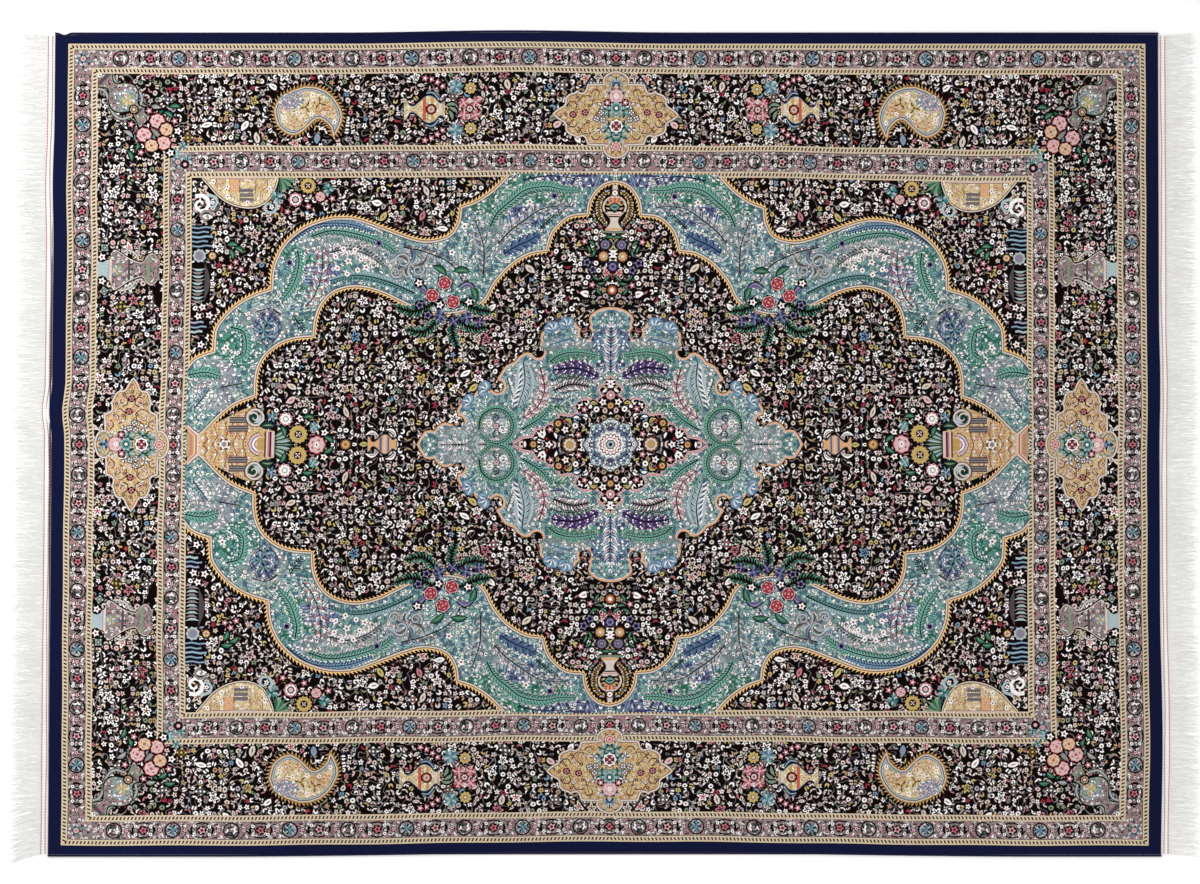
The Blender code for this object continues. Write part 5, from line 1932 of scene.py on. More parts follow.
def worked_ground_group(motifs: bpy.types.NodeTree, ferns: bpy.types.NodeTree) -> bpy.types.NodeTree:
    """A ground's fine work: curling stems and small florets, with large ones on vine and ferns on meadow."""
    sheet, given, result = new_group(
        "worked_ground",
        {
            "Dye": "Color", "Place": "Vector", "Pitch": "Float", "Stem": "Color", "Stem Share": "Float",
            "Light": "Color", "Floret Share": "Float", "Dark": "Color", "Style": "Float",
        },
        {"Colour": "Color"},
    )
    pitch, stem_share, share, style = (
        Signal(sheet, given[name]) for name in ("Pitch", "Stem Share", "Floret Share", "Style")
    )
    dye, stem_dye = given["Dye"], given["Stem"]
    vine = style.above(0.75)
    meadow = style.above(0.25) - vine

    # Stems and ferns, from places that sway a little
    sway = sheet.noise(given["Place"], 0.6 / pitch)["Color"]
    place = sheet.vector("MULTIPLY_ADD", {0: sway, 1: (2.6, 2.6, 0.0), 2: given["Place"]})
    curl_scale = (1.15 - vine * 0.7) * (1.0 / pitch)
    curls = Signal(sheet, sheet.noise(given["Place"], curl_scale, Distortion=0.8)[0])
    wave = (curls * 3.6).sum("PINGPONG", 0.5) * pitch
    stem = (1.0 - wave.rising(0.4, 0.8)).instead(vine, 1.0 - wave.rising(0.1, 0.45))
    stemmed = sheet.mix(stem * stem_share, dye, stem_dye)
    fern = sheet.group(ferns, {"Place": place})
    tinted = sheet.mix(0.7, dye, sheet.palette(Signal(sheet, fern["Chance"]), FERN_DYES))
    barbed = sheet.mix(Signal(sheet, fern["Barb"]) * share, dye, tinted)
    lines = Signal(sheet, fern["Line"]).sum("MAXIMUM", stem * 0.8) * stem_share
    ground = sheet.mix(meadow, stemmed, sheet.mix(lines, barbed, stem_dye))

    # Where the small and the large motifs stand
    small = sheet.group(motifs, {"Place": place, "Pitch": pitch, "Bold": 0.0})
    large = sheet.group(motifs, {"Place": place, "Pitch": LARGE_PITCH, "Bold": 1.0})
    small_pick = sheet.parts("Color", small["Chance"])[2]
    large_turn, _, large_pick = sheet.parts("Color", large["Chance"])
    shown = large_pick.above(0.78) * vine
    clear = (1.0 - Signal(sheet, large["Near"]).rising(0.40, 0.44)) * shown
    present = small_pick.above(0.24).instead(vine, small_pick.above(0.04)) * share * (1.0 - clear)

    # Their colours, over the ground
    edged = sheet.mix(Signal(sheet, small["Edge"]) * present * meadow * 0.75, ground, stem_dye)
    plain = sheet.mix((small_pick * 7.0).sum("FRACT").above(0.62), given["Light"], given["Dark"])
    petal_dye = sheet.mix(vine, plain, sheet.palette((small_pick * 11.0).sum("FRACT"), SMALL_VINE_DYES))
    dotted = sheet.mix(Signal(sheet, small["Heart"]) * vine, petal_dye, sheet.palette(small_pick, HEART_DYES))
    strewn = sheet.mix(Signal(sheet, small["Petal"]) * present, sheet.mix(clear, edged, dye), dotted)
    large_heart = sheet.palette((large_turn * 5.0).sum("FRACT"), HEART_DYES)
    bold = sheet.mix(large["Heart"], sheet.palette(large_turn, LARGE_VINE_DYES), large_heart)
    colour = sheet.mix(Signal(sheet, large["Petal"]) * shown, strewn, bold)
    sheet.feed(result, {"Colour": colour})
    return sheet.tree


def knot_group() -> bpy.types.NodeTree:
    """The pile's uneven dye and rows of knots, with a painted glare that lightens its left end, from places
    in metres.
    """
    sheet, given, result = new_group(
        "knotted_pile", {"Dye": "Color", "Place": "Vector"}, {"Colour": "Color", "Height": "Float"}
    )
    place = given["Place"]
    fine = sheet.noise(place, 420.0, 2.0, Roughness=0.6)[0]
    broad = sheet.noise(place, 1.6, 3.0, Roughness=0.5)[0]
    stretched_place = sheet.add("ShaderNodeMapping", {"Vector": place, "Scale": (26.0, 0.6, 1.0)}).outputs[0]
    rows = sheet.noise(stretched_place, 1.0, 2.0)[0]
    abrash = sheet.sum("MULTIPLY_ADD", rows, 0.16, 0.92)
    tone = sheet.sum("MULTIPLY_ADD", broad, 0.20, 0.90)
    knots = sheet.sum("MULTIPLY_ADD", fine, 0.36, 0.82)
    along = sheet.parts("XYZ", place)[0]
    # Painted glare: the colour is lightened by up to 14% towards the carpet's left end.
    left_glare = (1.0 - along.rising(-1.7, -0.9)) * 0.14 + 1.0
    value = abrash * tone * knots * left_glare
    # The dye toned by the uneven dye, the knot rows and the painted glare.
    uneven_with_glare = sheet.add("ShaderNodeHueSaturation", {"Value": value, "Color": given["Dye"]})
    height = sheet.sum("MULTIPLY_ADD", rows, 0.3, fine)
    sheet.feed(result, {"Colour": uneven_with_glare.outputs[0], "Height": height})
    return sheet.tree


RELIEF = 0.0008  # how deep the bumps of knots and fibres are, in metres


class Cloth:
    """A new material with its sheet of nodes, dressed in one call."""

    def __init__(self, name: str) -> None:
        """Starts the material."""
        self.material = bpy.data.materials.new(name)
        self.material.use_nodes = True
        self.sheet = NodeSheet(self.material.node_tree)
        self.place = self.sheet.add("ShaderNodeTexCoord").outputs["Object"]

    def dress(self, colour: object, height: object, strength: float, **numbers: float) -> bpy.types.Material:
        """Joins the colour and a bump of that height and strength to the shader, and sets its numbers."""
        inputs = {"Height": height, "Strength": strength, "Distance": RELIEF}
        normal = self.sheet.add("ShaderNodeBump", inputs).outputs[0]
        shader = self.material.node_tree.nodes["Principled BSDF"]
        named = {key.replace("_", " "): value for key, value in numbers.items()}
        self.sheet.feed(shader.inputs, {"Base Color": colour, "Normal": normal, **named})
        return self.material


@dataclass(frozen=True)
class PileFinish:
    """Cropped wool and silk, coloured knot by knot."""

    name: str = "cropped_pile"

    def make(self) -> bpy.types.Material:
        """Builds the material, which reads its colours and its places in the pattern from the mesh."""
        cloth = Cloth(self.name)
        sheet = cloth.sheet
        dye, stem, light, dark, cartoon = (
            sheet.add("ShaderNodeAttribute", attribute_name=name).outputs
            for name in ("dye", "stem", "light", "dark", "cartoon")
        )
        ground = sheet.group(worked_ground_group(motif_group(), fern_group()), {
            "Dye": dye["Color"], "Place": cartoon["Vector"],
            "Pitch": Signal(sheet, dye["Alpha"]) * PITCH_UNIT,
            "Stem": stem["Color"], "Stem Share": stem["Alpha"], "Light": light["Color"],
            "Floret Share": light["Alpha"], "Dark": dark["Color"], "Style": dark["Alpha"],
        })
        knots = sheet.group(knot_group(), {"Dye": ground[0], "Place": cloth.place})
        return cloth.dress(
            knots["Colour"], knots["Height"], 0.4,
            Roughness=0.85, Specular_IOR_Level=0.03, Sheen_Weight=0.02, Sheen_Roughness=0.5,
        )


@dataclass(frozen=True)
class YarnFinish:
    """Plain yarn or cloth of one dye, uneven in tone, with fine fibres."""

    name: str
    colour: tuple[int, int, int]
    tone: float = 0.25
    fibre_scale: float = 300.0
    stretch: tuple[float, float, float] = (1.0, 1.0, 1.0)
    bump: float = 0.4

    def make(self) -> bpy.types.Material:
        """Builds the material."""
        cloth = Cloth(self.name)
        sheet = cloth.sheet
        laid = sheet.add("ShaderNodeMapping", {"Vector": cloth.place, "Scale": self.stretch}).outputs[0]
        fibres = sheet.noise(laid, self.fibre_scale, 3.0)[0]
        patches = sheet.noise(cloth.place, 9.0, 2.0)[0]
        light, patch = (
            sheet.sum("MULTIPLY_ADD", noise, self.tone, 1.0 - self.tone / 2) for noise in (fibres, patches)
        )
        toned = sheet.add("ShaderNodeHueSaturation", {"Value": light * patch, "Color": as_light(self.colour)})
        return cloth.dress(toned.outputs[0], fibres, self.bump, Roughness=0.9, Specular_IOR_Level=0.2)


# ---------------------------------------------------------------- pieces


def new_piece(
    name: str, places: np.ndarray, faces: Sequence, material: bpy.types.Material
) -> bpy.types.Object:
    """Makes a piece from places and faces, and sets it on the carpet's body."""
    mesh = bpy.data.meshes.new(name)
    mesh.from_pydata(places.tolist(), [], faces)
    mesh.materials.append(material)
    piece = bpy.data.objects.new(name, mesh)
    bpy.context.scene.collection.objects.link(piece)
    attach(piece, "root")
    return piece


def pile_swell(x: np.ndarray, y: np.ndarray) -> np.ndarray:
    """How uneven the cropped pile itself is, in metres."""
    broad = BROAD_SWELL * np.sin(x * 23.0 + 1.0) * np.sin(y * 19.0)
    return broad + FINE_SWELL * np.sin(x * 61.0 + y * 47.0)


class PileWorks:
    """Turns the finished quarter into closed pieces of pile, mirrored and laid on the floor."""

    def __init__(self, quarter: Quarter, material: bpy.types.Material) -> None:
        """Keeps the quarter and the pile's finish."""
        self.quarter = quarter
        self.material = material
        works = [FINE_WORK.get(dye, PLAIN_WORK) for dye in DYES]
        self.layers = {
            "dye": self._layer(DYES, [work.pitch / PITCH_UNIT for work in works]),
            "stem": self._layer([work.stem for work in works], [work.stem_share for work in works]),
            "light": self._layer([work.light for work in works], [work.floret_share for work in works]),
            "dark": self._layer([work.dark for work in works], [work.style.value for work in works]),
        }

    def _layer(self, dyes: Sequence[Dye], shares: Sequence[float]) -> np.ndarray:
        """One colour and one share for each dye of the cartoon."""
        return np.array([(*as_light(dye.value)[:3], share) for dye, share in zip(dyes, shares)])

    def piece(self, name: str, chosen: np.ndarray, mirrors: Sequence[tuple[int, int]]) -> bpy.types.Object:
        """Makes one closed piece.

        Args:
            name: the piece's name.
            chosen: which triangles of the quarter it has.
            mirrors: the quarters of the carpet it covers, as signs along and across.

        Returns:
            The piece.
        """
        triangles = self.quarter.triangles[chosen]
        dyes = self.quarter.dyes[chosen]
        used, renamed = np.unique(triangles, return_inverse=True)
        triangles = renamed.reshape(-1, 3)
        local = self.quarter.places[used]
        stacks, faces = [], []
        for k, (along, across) in enumerate(mirrors):
            stacks.append(local.real * along + 1j * local.imag * across)
            turned = triangles if along * across > 0 else triangles[:, ::-1]
            faces.append(turned + k * len(local))
        every = np.concatenate(stacks)
        keys = np.round(every.real, 3) + 1j * np.round(every.imag, 3) + 0j
        keys = np.where(keys.real == 0, 1j * keys.imag, keys)
        _, first, welded = np.unique(keys, return_index=True, return_inverse=True)
        pattern = every[first]
        tops = welded[np.concatenate(faces)]
        x, y = settle(pattern.real, pattern.imag)
        return self._close(name, x, y, pattern, tops, np.tile(dyes, len(mirrors)))

    def _close(
        self, name: str, x: np.ndarray, y: np.ndarray, pattern: Shape, tops: np.ndarray, dyes: np.ndarray
    ) -> bpy.types.Object:
        """Gives a flat cut of pattern its pile, its side walls and its back.

        Args:
            name: the piece's name.
            x: its places on the floor, along the carpet.
            y: the same, across it.
            pattern: the same places in the pattern.
            tops: its triangles.
            dyes: the colour of each triangle.

        Returns:
            The piece.
        """
        lift = rise(x, y)
        top = np.stack([x, y, PILE_TOP + lift + pile_swell(x, y)], axis=1)
        directed = np.concatenate([tops[:, [0, 1]], tops[:, [1, 2]], tops[:, [2, 0]]])
        count = len(x)
        low_end, high_end = directed.min(axis=1), directed.max(axis=1)
        edges, which = np.unique(low_end * count + high_end, return_inverse=True)
        net = np.bincount(which, np.sign(directed[:, 1] - directed[:, 0])).round().astype(int)
        ends = np.stack([edges // count, edges % count], axis=1)
        rim = np.concatenate([ends[net > 0], ends[net < 0][:, ::-1]])
        rim_points = np.unique(rim)
        lower_of = np.full(count, -1)
        lower_of[rim_points] = count + np.arange(len(rim_points))
        low = top[rim_points].copy()
        low[:, 2] = FOUNDATION_TOP + lift[rim_points]
        outer = self._on_carpet_edge(pattern)
        top[outer, 0] -= np.sign(pattern.real[outer]) * SHOULDER_IN
        top[outer, 1] -= np.sign(pattern.imag[outer]) * SHOULDER_IN
        top[outer, 2] -= SHOULDER_DOWN
        walls = np.stack([rim[:, 1], rim[:, 0], lower_of[rim[:, 0]], lower_of[rim[:, 1]]], axis=1)
        faces = tops.tolist() + walls.tolist() + self._back(rim, low, lower_of, count)
        piece = new_piece(name, np.concatenate([top, low]), faces, self.material)
        self._dye(piece, tops, rim, dyes)
        drawn = np.concatenate([pattern, pattern[rim_points]])
        spots = np.stack([np.abs(drawn.real), np.abs(drawn.imag), np.zeros(len(drawn))], axis=1)
        layer = piece.data.attributes.new("cartoon", "FLOAT_VECTOR", "POINT")
        layer.data.foreach_set("vector", spots.ravel())
        return piece

    def _on_carpet_edge(self, pattern: Shape) -> np.ndarray:
        """Which places lie on the knotted body's own edge."""
        near = 0.01
        return (np.abs(pattern.real) > HALF_U - near) | (np.abs(pattern.imag) > BODY_HALF_V - near)

    def _back(self, rim: np.ndarray, low: np.ndarray, lower_of: np.ndarray, first: int) -> list[list[int]]:
        """Fills the underside between the rims.

        Args:
            rim: the edges of the top's rims, as pairs of places.
            low: the lower places.
            lower_of: for each upper place on a rim, the number of the one below it.
            first: the number of the first lower place.

        Returns:
            The underside's triangles.
        """
        following: dict[int, list[int]] = {}
        for a, b in rim.tolist():
            following.setdefault(a, []).append(b)
        loops = []
        while following:
            start = next(iter(following))
            loop, step = [start], self._next(following, start)
            while step != start:
                loop.append(step)
                step = self._next(following, step)
            loops.append([int(lower_of[point]) - first for point in loop])
        flat = [Vector((x, y)) for x, y in low[:, :2]]
        areas = [area_of(low[loop, 0] + 1j * low[loop, 1]) for loop in loops]
        faces = [loop if area > 0 else loop[::-1] for loop, area in zip(loops, areas)]
        _, _, triangles, originals, _, owners = delaunay_2d_cdt(flat, [], faces, 1, 1e-7, True)
        holes = {k for k, area in enumerate(areas) if area < 0}
        back = []
        for triangle, over in zip(triangles, owners):
            if holes.intersection(over):
                continue
            corners = [originals[corner] for corner in triangle]
            if all(corners):
                back.append([first + corner[0] for corner in reversed(corners)])
        return back

    def _next(self, following: dict[int, list[int]], point: int) -> int:
        """Takes one step along the rim, and uses it up."""
        steps = following[point]
        step = steps.pop()
        if not steps:
            del following[point]
        return step

    def _dye(self, piece: bpy.types.Object, tops: np.ndarray, rim: np.ndarray, dyes: np.ndarray) -> None:
        """Gives each face's corners the colour of its knots; walls take the colour above them.

        Args:
            piece: the piece of pile.
            tops: its upper triangles.
            rim: the edges of their rims, as pairs of places.
            dyes: the colour of each upper triangle.
        """
        walls = slice(3 * len(tops), 3 * len(tops) + 4 * len(rim))
        owner = {}
        for k in range(3):
            for index, (a, b) in enumerate(zip(tops[:, k].tolist(), tops[:, (k + 1) % 3].tolist())):
                owner[(a, b)] = index
        above = np.array([owner[(int(a), int(b))] for a, b in rim])
        for name, colours in self.layers.items():
            corners = np.tile(colours[DYES.index(Dye.SMOKE)], (len(piece.data.loops), 1))
            corners[: walls.start] = np.repeat(colours[dyes], 3, axis=0)
            corners[walls] = np.repeat(colours[dyes[above]], 4, axis=0)
            layer = piece.data.color_attributes.new(name, "FLOAT_COLOR", "CORNER")
            layer.data.foreach_set("color", corners.ravel())


ALL_QUARTERS = ((1, 1), (-1, 1), (-1, -1), (1, -1))


def end_word(side: int) -> str:
    """The name of a short end."""
    return "right" if side > 0 else "left"


def edge_word(side: int) -> str:
    """The name of a long edge."""
    return "upper" if side > 0 else "lower"


def make_pile(quarter: Quarter, material: bpy.types.Material) -> list[bpy.types.Object]:
    """Makes every piece of pile.

    Args:
        quarter: the finished quarter of the pattern.
        material: the pile's finish.

    Returns:
        The pieces, from the edge inwards.
    """
    works = PileWorks(quarter, material)
    centres = quarter.places[quarter.triangles].mean(axis=1)
    layout = BorderLayout()
    corner = complex(*layout.inner_guard)
    mitre = complex(*layout.outer_guard_in) - corner
    on_end = (centres.real - corner.real) > (centres.imag - corner.imag) * mitre.real / mitre.imag
    pieces = []

    def make(
        name: str, zone: Zone, mirrors: Sequence[tuple[int, int]], also: np.ndarray | None = None
    ) -> None:
        """Makes one piece of a zone and reports it."""
        chosen = quarter.zones == int(zone)
        if also is not None:
            chosen = chosen & also
        piece = works.piece(name, chosen, mirrors)
        log.info("%s: %d faces", name, len(piece.data.polygons))
        pieces.append(piece)

    make("pile_edge_band", Zone.EDGE, ALL_QUARTERS)
    make("pile_outer_guard", Zone.OUTER_GUARD, ALL_QUARTERS)
    make("pile_border_upper", Zone.BORDER, ((1, 1), (-1, 1)), ~on_end)
    make("pile_border_lower", Zone.BORDER, ((1, -1), (-1, -1)), ~on_end)
    make("pile_border_right", Zone.BORDER, ((1, 1), (1, -1)), on_end)
    make("pile_border_left", Zone.BORDER, ((-1, 1), (-1, -1)), on_end)
    make("pile_inner_guard", Zone.INNER_GUARD, ALL_QUARTERS)
    for along, across in ALL_QUARTERS:
        make(f"pile_corner_{edge_word(across)}_{end_word(along)}", Zone.CORNER, ((along, across),))
    make("pile_scalloped_band", Zone.BAND, ALL_QUARTERS)
    make("pile_field", Zone.FIELD, ALL_QUARTERS)
    make("pile_medallion", Zone.MEDALLION, ALL_QUARTERS)
    return pieces


def facing(faces: list[list[int]], side: int) -> list[list[int]]:
    """Faces as they are, or turned over for side -1."""
    return faces if side > 0 else [face[::-1] for face in faces]


def sheet_faces(wide: int, rows: int, start: int) -> list[list[int]]:
    """The faces of a closed sheet.

    Args:
        wide: the places in a row.
        rows: the rows in each of its two layers.
        start: the corner at which the second layer's squares start, which sets how they are split.

    Returns:
        The faces of both layers, in turns, and those round the edge.
    """
    block = wide * rows
    faces = []
    for k in range(rows - 1):
        for i in range(wide - 1):
            a = k * wide + i
            quad = [a, a + wide, a + wide + 1, a + 1]
            faces += [quad, [block + corner for corner in quad[start::-1] + quad[:start:-1]]]
    rim = list(range(wide))
    rim += [k * wide + wide - 1 for k in range(1, rows)]
    rim += [(rows - 1) * wide + i for i in range(wide - 2, -1, -1)]
    rim += [k * wide for k in range(rows - 2, 0, -1)]
    return faces + [[a, b, block + b, block + a] for a, b in zip(rim, rim[1:] + rim[:1])]


def tube_faces(rings: int, sides: int) -> list[list[int]]:
    """The faces of a closed tube whose rings have that many places each."""
    faces = []
    for k in range(rings - 1):
        for j in range(sides):
            a, b = k * sides + j, k * sides + (j + 1) % sides
            faces.append([a, b, b + sides, a + sides])
    last = (rings - 1) * sides
    return faces + [list(range(sides))[::-1], list(range(last, last + sides))]


def spindle_faces(sides: int) -> list[list[int]]:
    """The faces of a spindle: a point, three rings and a point."""
    tip = 1 + 3 * sides
    faces = []
    for j in range(sides):
        n = (j + 1) % sides
        faces += [[0, 1 + n, 1 + j], [tip, tip - sides + j, tip - sides + n]]
        for a in (1, 1 + sides):
            faces.append([a + j, a + n, a + sides + n, a + sides + j])
    return faces


def moved(faces: list[list[int]], by: int) -> list[list[int]]:
    """Faces whose places come that much later."""
    return [[by + corner for corner in face] for face in faces]


@dataclass
class Foundation:
    """The cotton foundation under the pile, a thin closed sheet."""

    step: float = 0.05

    def make(self, material: bpy.types.Material) -> bpy.types.Object:
        """Builds the sheet on a grid, so that it follows the ripples."""
        u = np.linspace(-HALF_U, HALF_U, int(CARPET_LENGTH / self.step) + 1)
        v = np.linspace(-BODY_HALF_V, BODY_HALF_V, int(CARPET_WIDTH / self.step) + 1)
        x, y = lie(*(grid.ravel() for grid in np.meshgrid(u, v)))
        lift = rise(x, y)
        heights = (lift + FLOOR_GAP, lift + FOUNDATION_TOP - FIT_GAP)
        places = np.concatenate([np.stack([x, y, height], axis=1) for height in heights])
        piece = new_piece("foundation", places, sheet_faces(len(u), len(v), 0), material)
        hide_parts("knotted_body")
        return piece


@dataclass
class Selvedge:
    """The cord along a long side, overcast with navy wool."""

    side: int
    wrap_pitch: float = 0.006
    waist: float = 0.90
    slant: float = 0.0016
    around: int = 8

    def make(self, material: bpy.types.Material) -> bpy.types.Object:
        """Builds the cord with a low ridge for each turn of the overcasting."""
        count = int(CARPET_LENGTH / self.wrap_pitch) * 2
        u = np.linspace(-HALF_U, HALF_U, count + 1)
        edge = np.full_like(u, self.side * BODY_HALF_V)
        x, y = lie(u, edge)
        x_after, y_after = lie(u + 1.0, edge)
        x_before, y_before = lie(u - 1.0, edge)
        length = np.hypot(x_after - x_before, y_after - y_before)
        out_x = -self.side * (y_after - y_before) / length
        out_y = self.side * (x_after - x_before) / length
        lift = rise(x, y)
        rings = []
        for k in range(count + 1):
            swell = CORD_RADIUS * (self.waist if k % 2 else 1.0)
            for j in range(self.around):
                angle = 2 * math.pi * (j + 0.5) / self.around
                away = CORD_RADIUS + FIT_GAP + swell * math.cos(angle)
                over = x[k] + out_x[k] * away + self.slant * math.sin(angle)
                rings.append((over, y[k] + out_y[k] * away, lift[k] + CORD_RADIUS + swell * math.sin(angle)))
        faces = facing(tube_faces(count + 1, self.around), self.side)
        word = edge_word(self.side)
        piece = new_piece(f"selvedge_cord_{word}", np.array(rings), faces, material)
        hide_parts(f"selvedge_{word}")
        return piece


@dataclass(frozen=True)
class Twining:
    """One twined cord: where it runs across the strip, how it wanders, and its stitches' sizes."""

    name: str
    share: float
    stray: float
    phase: float
    pitch: float = 0.0105
    half_width: float = 0.0017
    half_height: float = 0.0015
    slants: tuple[float, float] = (math.radians(70), math.radians(62))
    reach: float = 0.42  # half a stitch's length, as a share of the pitch
    height: float = 0.0006
    sides: int = 5
    samples: int = 1200

    def wander(self, v: np.ndarray) -> np.ndarray:
        """How far it strays along the carpet, in metres, at places across it."""
        return self.stray * (np.sin(v / 37.0 + self.phase) + 0.6 * np.sin(v / 15.0 + 2 * self.phase)) * 0.001


@dataclass
class KilimEnd:
    """The flat-woven strip at one short end, with its twined cords."""

    side: int
    columns: int = 150
    cockle: float = 0.0003

    def strip(self, material: bpy.types.Material) -> bpy.types.Object:
        """Builds the strip, slightly cockled across its width."""
        shares = np.array([0.0, 0.2, 0.4, 0.6, 0.8, 1.0])
        v = np.linspace(-STRIP_HALF_V, STRIP_HALF_V, self.columns + 1)
        upper, lower = [], []
        for share in shares:
            u = self.side * (HALF_U + (FIT_GAP + share * (KILIM_WIDTH - FIT_GAP)) / SQUARE)
            x, y = lie(np.full_like(v, u), v)
            cockle = self.cockle * np.sin(y * 55.0 + share * 3.0) * math.sin(math.pi * share)
            lift = rise(x, y) * (1.0 - share)
            upper.append(np.stack([x, y, KILIM_THICKNESS + cockle + lift], axis=1))
            lower.append(np.stack([x, y, lift], axis=1))
        faces = facing(sheet_faces(len(v), len(shares), 3), self.side)
        name = f"kilim_strip_{end_word(self.side)}"
        return new_piece(name, np.concatenate(upper + lower), faces, material)

    def twined_cord(self, twining: Twining, materials: Sequence[bpy.types.Material]) -> bpy.types.Object:
        """Builds a cord of slanting stitches, in turns of the two yarns' finishes."""
        v = np.linspace(-STRIP_HALF_V + 1, STRIP_HALF_V - 1, twining.samples)
        x, y = lie(self.side * (HALF_U + (twining.share * KILIM_WIDTH + twining.wander(v)) / SQUARE), v)
        run = np.concatenate([[0.0], np.cumsum(np.hypot(np.diff(x), np.diff(y)))])
        count = int(run[-1] / twining.pitch)
        at = (np.arange(count) + 0.5) * run[-1] / count
        spindle = spindle_faces(twining.sides)
        places, faces, kinds = [], [], []
        for over, up in zip(np.interp(at, run, x), np.interp(at, run, y)):
            for ply in (0, 1):
                faces += moved(spindle, len(places))
                kinds += [ply] * len(spindle)
                shifted = up + (ply - 0.5) * twining.pitch * 0.5
                places += self._stitch(twining, over, shifted, twining.slants[ply])
        name = f"twined_cord_{twining.name}_{end_word(self.side)}"
        piece = new_piece(name, np.array(places), faces, materials[0])
        piece.data.materials.append(materials[1])
        piece.data.polygons.foreach_set("material_index", kinds)
        return piece

    def _stitch(self, twining: Twining, over: float, up: float, slant: float) -> list[tuple]:
        """The places of one slanting stitch that lies on the strip."""
        places = []
        for length, girth in ((-1.0, 0.0), (-0.62, 0.72), (0.0, 1.0), (0.62, 0.72), (1.0, 0.0)):
            along = length * twining.pitch * twining.reach
            for j in range(twining.sides if girth else 1):
                angle = 2 * math.pi * j / twining.sides
                off = girth * twining.half_width * math.cos(angle)
                x = over + along * math.cos(slant) - off * math.sin(slant)
                y = up + along * math.sin(slant) + off * math.cos(slant)
                lift = twining.height + girth * twining.half_height * math.sin(angle)
                places.append((x, y, KILIM_THICKNESS + lift))
        return places


@dataclass
class Fringe:
    """The warp ends that hang out of a kilim strip, gathered in loose locks."""

    side: int
    seed: int
    strands: int = 11
    sides: int = 3
    yarn: float = 0.0011
    thinning: float = 0.45
    root_lift: float = 0.0018
    heaping: float = 0.0022
    shortening: float = 0.035
    length_shares: tuple[float, float] = (0.80, 1.03)
    wave_sizes: tuple[float, float] = (0.0008, 0.0034)
    drifting: float = 0.0035
    sections = ((-0.02, 1.0), (0.12, 0.84), (0.32, 0.86), (0.55, 0.95), (0.78, 1.05), (1.0, 1.15))

    def sway(self, v: np.ndarray, along: np.ndarray) -> np.ndarray:
        """How far the locks stray sideways at a share of their length, as in the fringe's body."""
        metres = v * SQUARE
        gentle = 0.0050 * np.sin(14.0 * metres + 1.3 * self.side) + 0.0035 * np.sin(31.0 * metres + 2.0)
        lower_corner = (v + HALF_V) * SQUARE
        upper_corner = (HALF_V - v) * SQUARE
        swept = 0.036 if self.side < 0 else 0.012
        flare = -swept * np.exp(-lower_corner / 0.16) + 0.006 * np.exp(-upper_corner / 0.12)
        return (gentle + flare) * along**1.4

    def make(self, material: bpy.types.Material) -> bpy.types.Object:
        """Builds every strand as a slim tube that lies on the floor or on its neighbours."""
        chance = np.random.default_rng(self.seed)
        total = LOCKS_PER_END * self.strands
        lock = np.repeat(np.arange(LOCKS_PER_END), self.strands)
        v_lock = LOCK_PITCH * (lock + 0.5) - STRIP_HALF_V
        within = (np.tile(np.arange(self.strands), LOCKS_PER_END) + 0.5) / self.strands - 0.5
        root = within * LOCK_PITCH * SQUARE * 0.96
        reach = LOCK_LENGTH * (1.0 - self.shortening * (1.0 + np.sin(lock * 2.399 + self.side)))
        reach = reach * chance.uniform(*self.length_shares, total)
        phase = chance.uniform(0, 2 * np.pi, total)
        wave = chance.uniform(*self.wave_sizes, total)
        drift = chance.normal(0.0, self.drifting, total)
        layer = chance.uniform(0.0, 1.0, total)
        x0, y0 = lie(np.full(total, self.side * (HALF_U + KILIM_WIDTH / SQUARE)), v_lock)
        places = np.zeros((total, len(self.sections), self.sides, 3))
        for k, (share, spread) in enumerate(self.sections):
            along = max(share, 0.0)
            y = y0 + root * spread + self.sway(v_lock, np.full(total, along)) + drift * along**1.5
            y = y + wave * np.sin(phase + 9.0 * share)
            radius = self.yarn * (1.0 - self.thinning * along)
            heap = self.heaping * layer * math.sin(math.pi * min(0.15 + 0.7 * along, 1.0))
            crown = self.root_lift * (1.0 - along) + heap
            for j in range(self.sides):
                angle = 2 * math.pi * j / self.sides + math.pi / 2
                places[:, k, j, 0] = x0 + self.side * reach * share
                places[:, k, j, 1] = y + radius * math.cos(angle)
                places[:, k, j, 2] = np.maximum(radius + crown + radius * math.sin(angle), 0.0)
        strand = facing(tube_faces(len(self.sections), self.sides), self.side)
        per = len(self.sections) * self.sides
        faces = [face for k in range(total) for face in moved(strand, k * per)]
        word = end_word(self.side)
        piece = new_piece(f"warp_fringe_{word}", places.reshape(-1, 3), faces, material)
        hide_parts(f"fringe_{word}")
        return piece


# ---------------------------------------------------------------- studio


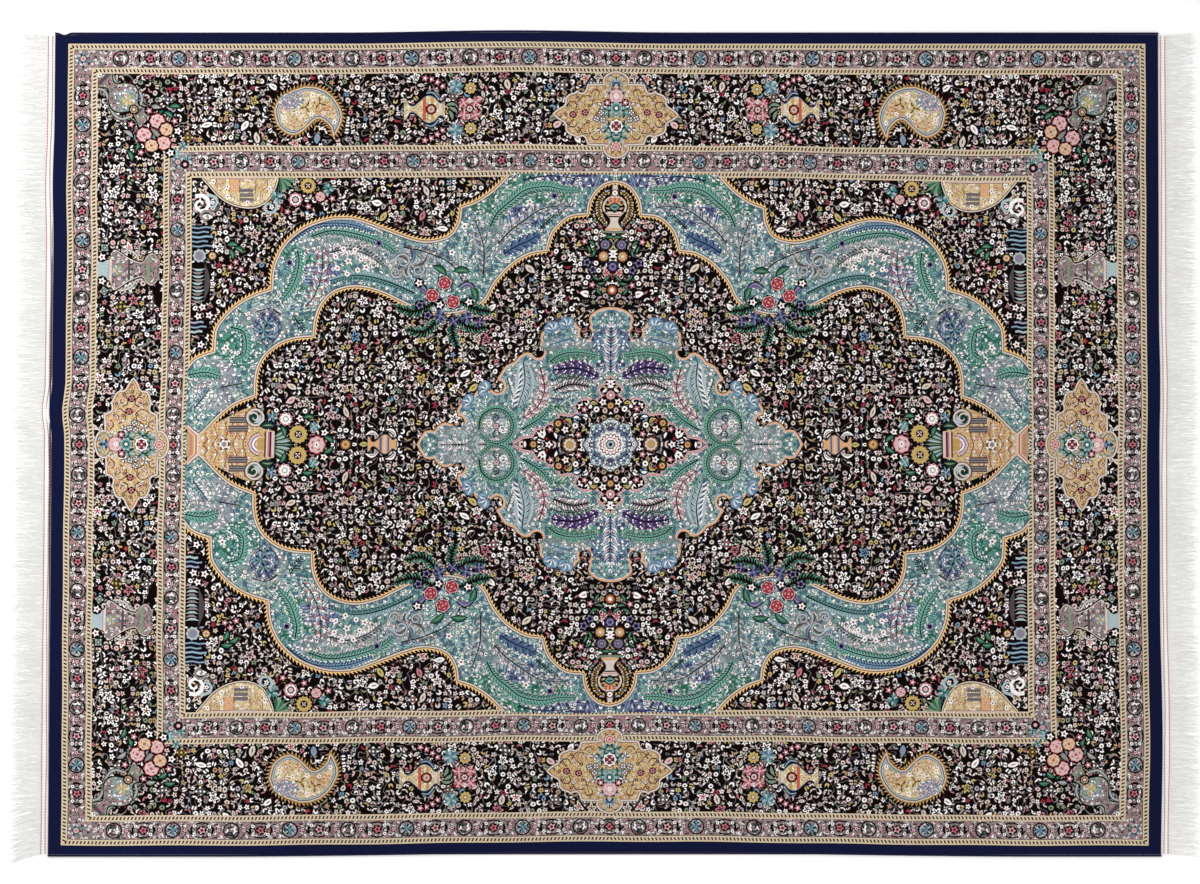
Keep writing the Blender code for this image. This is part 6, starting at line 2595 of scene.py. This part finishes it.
@dataclass
class Studio:
    """A pale floor, soft light, and a camera straight above, as the photograph was taken."""

    view_width: float = 1200 * SQUARE
    centre: tuple[float, float] = (-0.0198, 0.021)
    height: float = 14.0
    sensor: float = 36.0
    air: float = 0.56
    floor_size: float = 40.0
    floor_depth: float = 0.0005
    lights = (
        ("key_light", (-4.5, 3.5, 5.5), 4.0, 300.0),
        ("fill_light", (4.5, -3.0, 6.0), 5.0, 130.0),
    )

    def build(self) -> None:
        """Sets up the floor, the air, the lights and the camera."""
        self._floor()
        world = bpy.data.worlds.new("studio_air")
        world.use_nodes = True
        NodeSheet(world.node_tree).feed(
            world.node_tree.nodes["Background"].inputs, {"Color": (1.0, 1.0, 1.0, 1.0), "Strength": self.air}
        )
        bpy.context.scene.world = world
        for name, place, size, power in self.lights:
            light = bpy.data.lights.new(name, "AREA")
            light.energy = power
            light.size = size
            lamp = self._place(name, light, place)
            lamp.rotation_euler = (-Vector(place)).to_track_quat("-Z", "Y").to_euler()
        camera = bpy.data.cameras.new("camera")
        camera.sensor_width = self.sensor
        camera.lens = self.sensor * self.height / self.view_width
        bpy.context.scene.camera = self._place("camera", camera, (*self.centre, self.height + PILE_TOP))
        bpy.context.scene.view_settings.view_transform = "Standard"

    def _floor(self) -> None:
        """Lays a pale, faintly lit paper under the carpet."""
        bpy.ops.object.select_all(action="DESELECT")
        bpy.ops.mesh.primitive_plane_add(size=self.floor_size, location=(0.0, 0.0, -self.floor_depth))
        floor = bpy.context.object
        floor.name = "studio_floor"
        material = bpy.data.materials.new("studio_paper")
        material.use_nodes = True
        NodeSheet(material.node_tree).feed(material.node_tree.nodes["Principled BSDF"].inputs, {
            "Base Color": (0.95, 0.95, 0.95, 1.0), "Emission Color": (1.0, 1.0, 1.0, 1.0),
            "Emission Strength": 0.12, "Roughness": 0.95,
        })
        floor.data.materials.append(material)

    def _place(self, name: str, data: bpy.types.ID, place: Sequence[float]) -> bpy.types.Object:
        """Puts a lamp or the camera at a place."""
        thing = bpy.data.objects.new(name, data)
        thing.location = place
        bpy.context.scene.collection.objects.link(thing)
        return thing


def main() -> None:
    """Builds the carpet, from its pattern to its fringes, and reports each piece."""
    bpy.ops.object.select_all(action="DESELECT")
    cartoon = draw_cartoon()
    log.info("cartoon: %d shapes, %d corners", len(cartoon.faces), len(cartoon.corners))
    layout = BorderLayout()
    mitre = (complex(*layout.inner_guard), complex(*layout.outer_guard_in))
    quarter = cut_quarter(cartoon, (mitre,))
    log.info("quarter: %d triangles", len(quarter.triangles))
    pile = make_pile(quarter, PileFinish().make())
    cotton = YarnFinish("warp_cotton", (247, 246, 243), 0.14, 260.0).make()
    navy = YarnFinish("navy_overcasting", (20, 26, 62), 0.5, 500.0, (1.0, 0.3, 1.0)).make()
    red = YarnFinish("red_twining", (176, 96, 100), 0.3, 600.0).make()
    pale = YarnFinish("pale_twining", (226, 206, 200), 0.3, 600.0).make()
    foundation = Foundation().make(YarnFinish("foundation_weave", (150, 134, 122), 0.4, 500.0).make())
    others = []
    for side in (1, -1):
        others.append(Selvedge(side).make(navy))
        end = KilimEnd(side)
        others.append(end.strip(cotton))
        for twining in (Twining("inner", 0.34, 1.4, 0.3), Twining("outer", 0.86, 0.5, 1.9)):
            others.append(end.twined_cord(twining, (red, pale)))
        others.append(Fringe(side, seed=40 + side).make(cotton))
    for piece in (foundation, *others):
        log.info("%s: %d faces", piece.name, len(piece.data.polygons))
    Studio().build()
    bpy.context.view_layer.update()


if __name__ == "__main__":
    main()
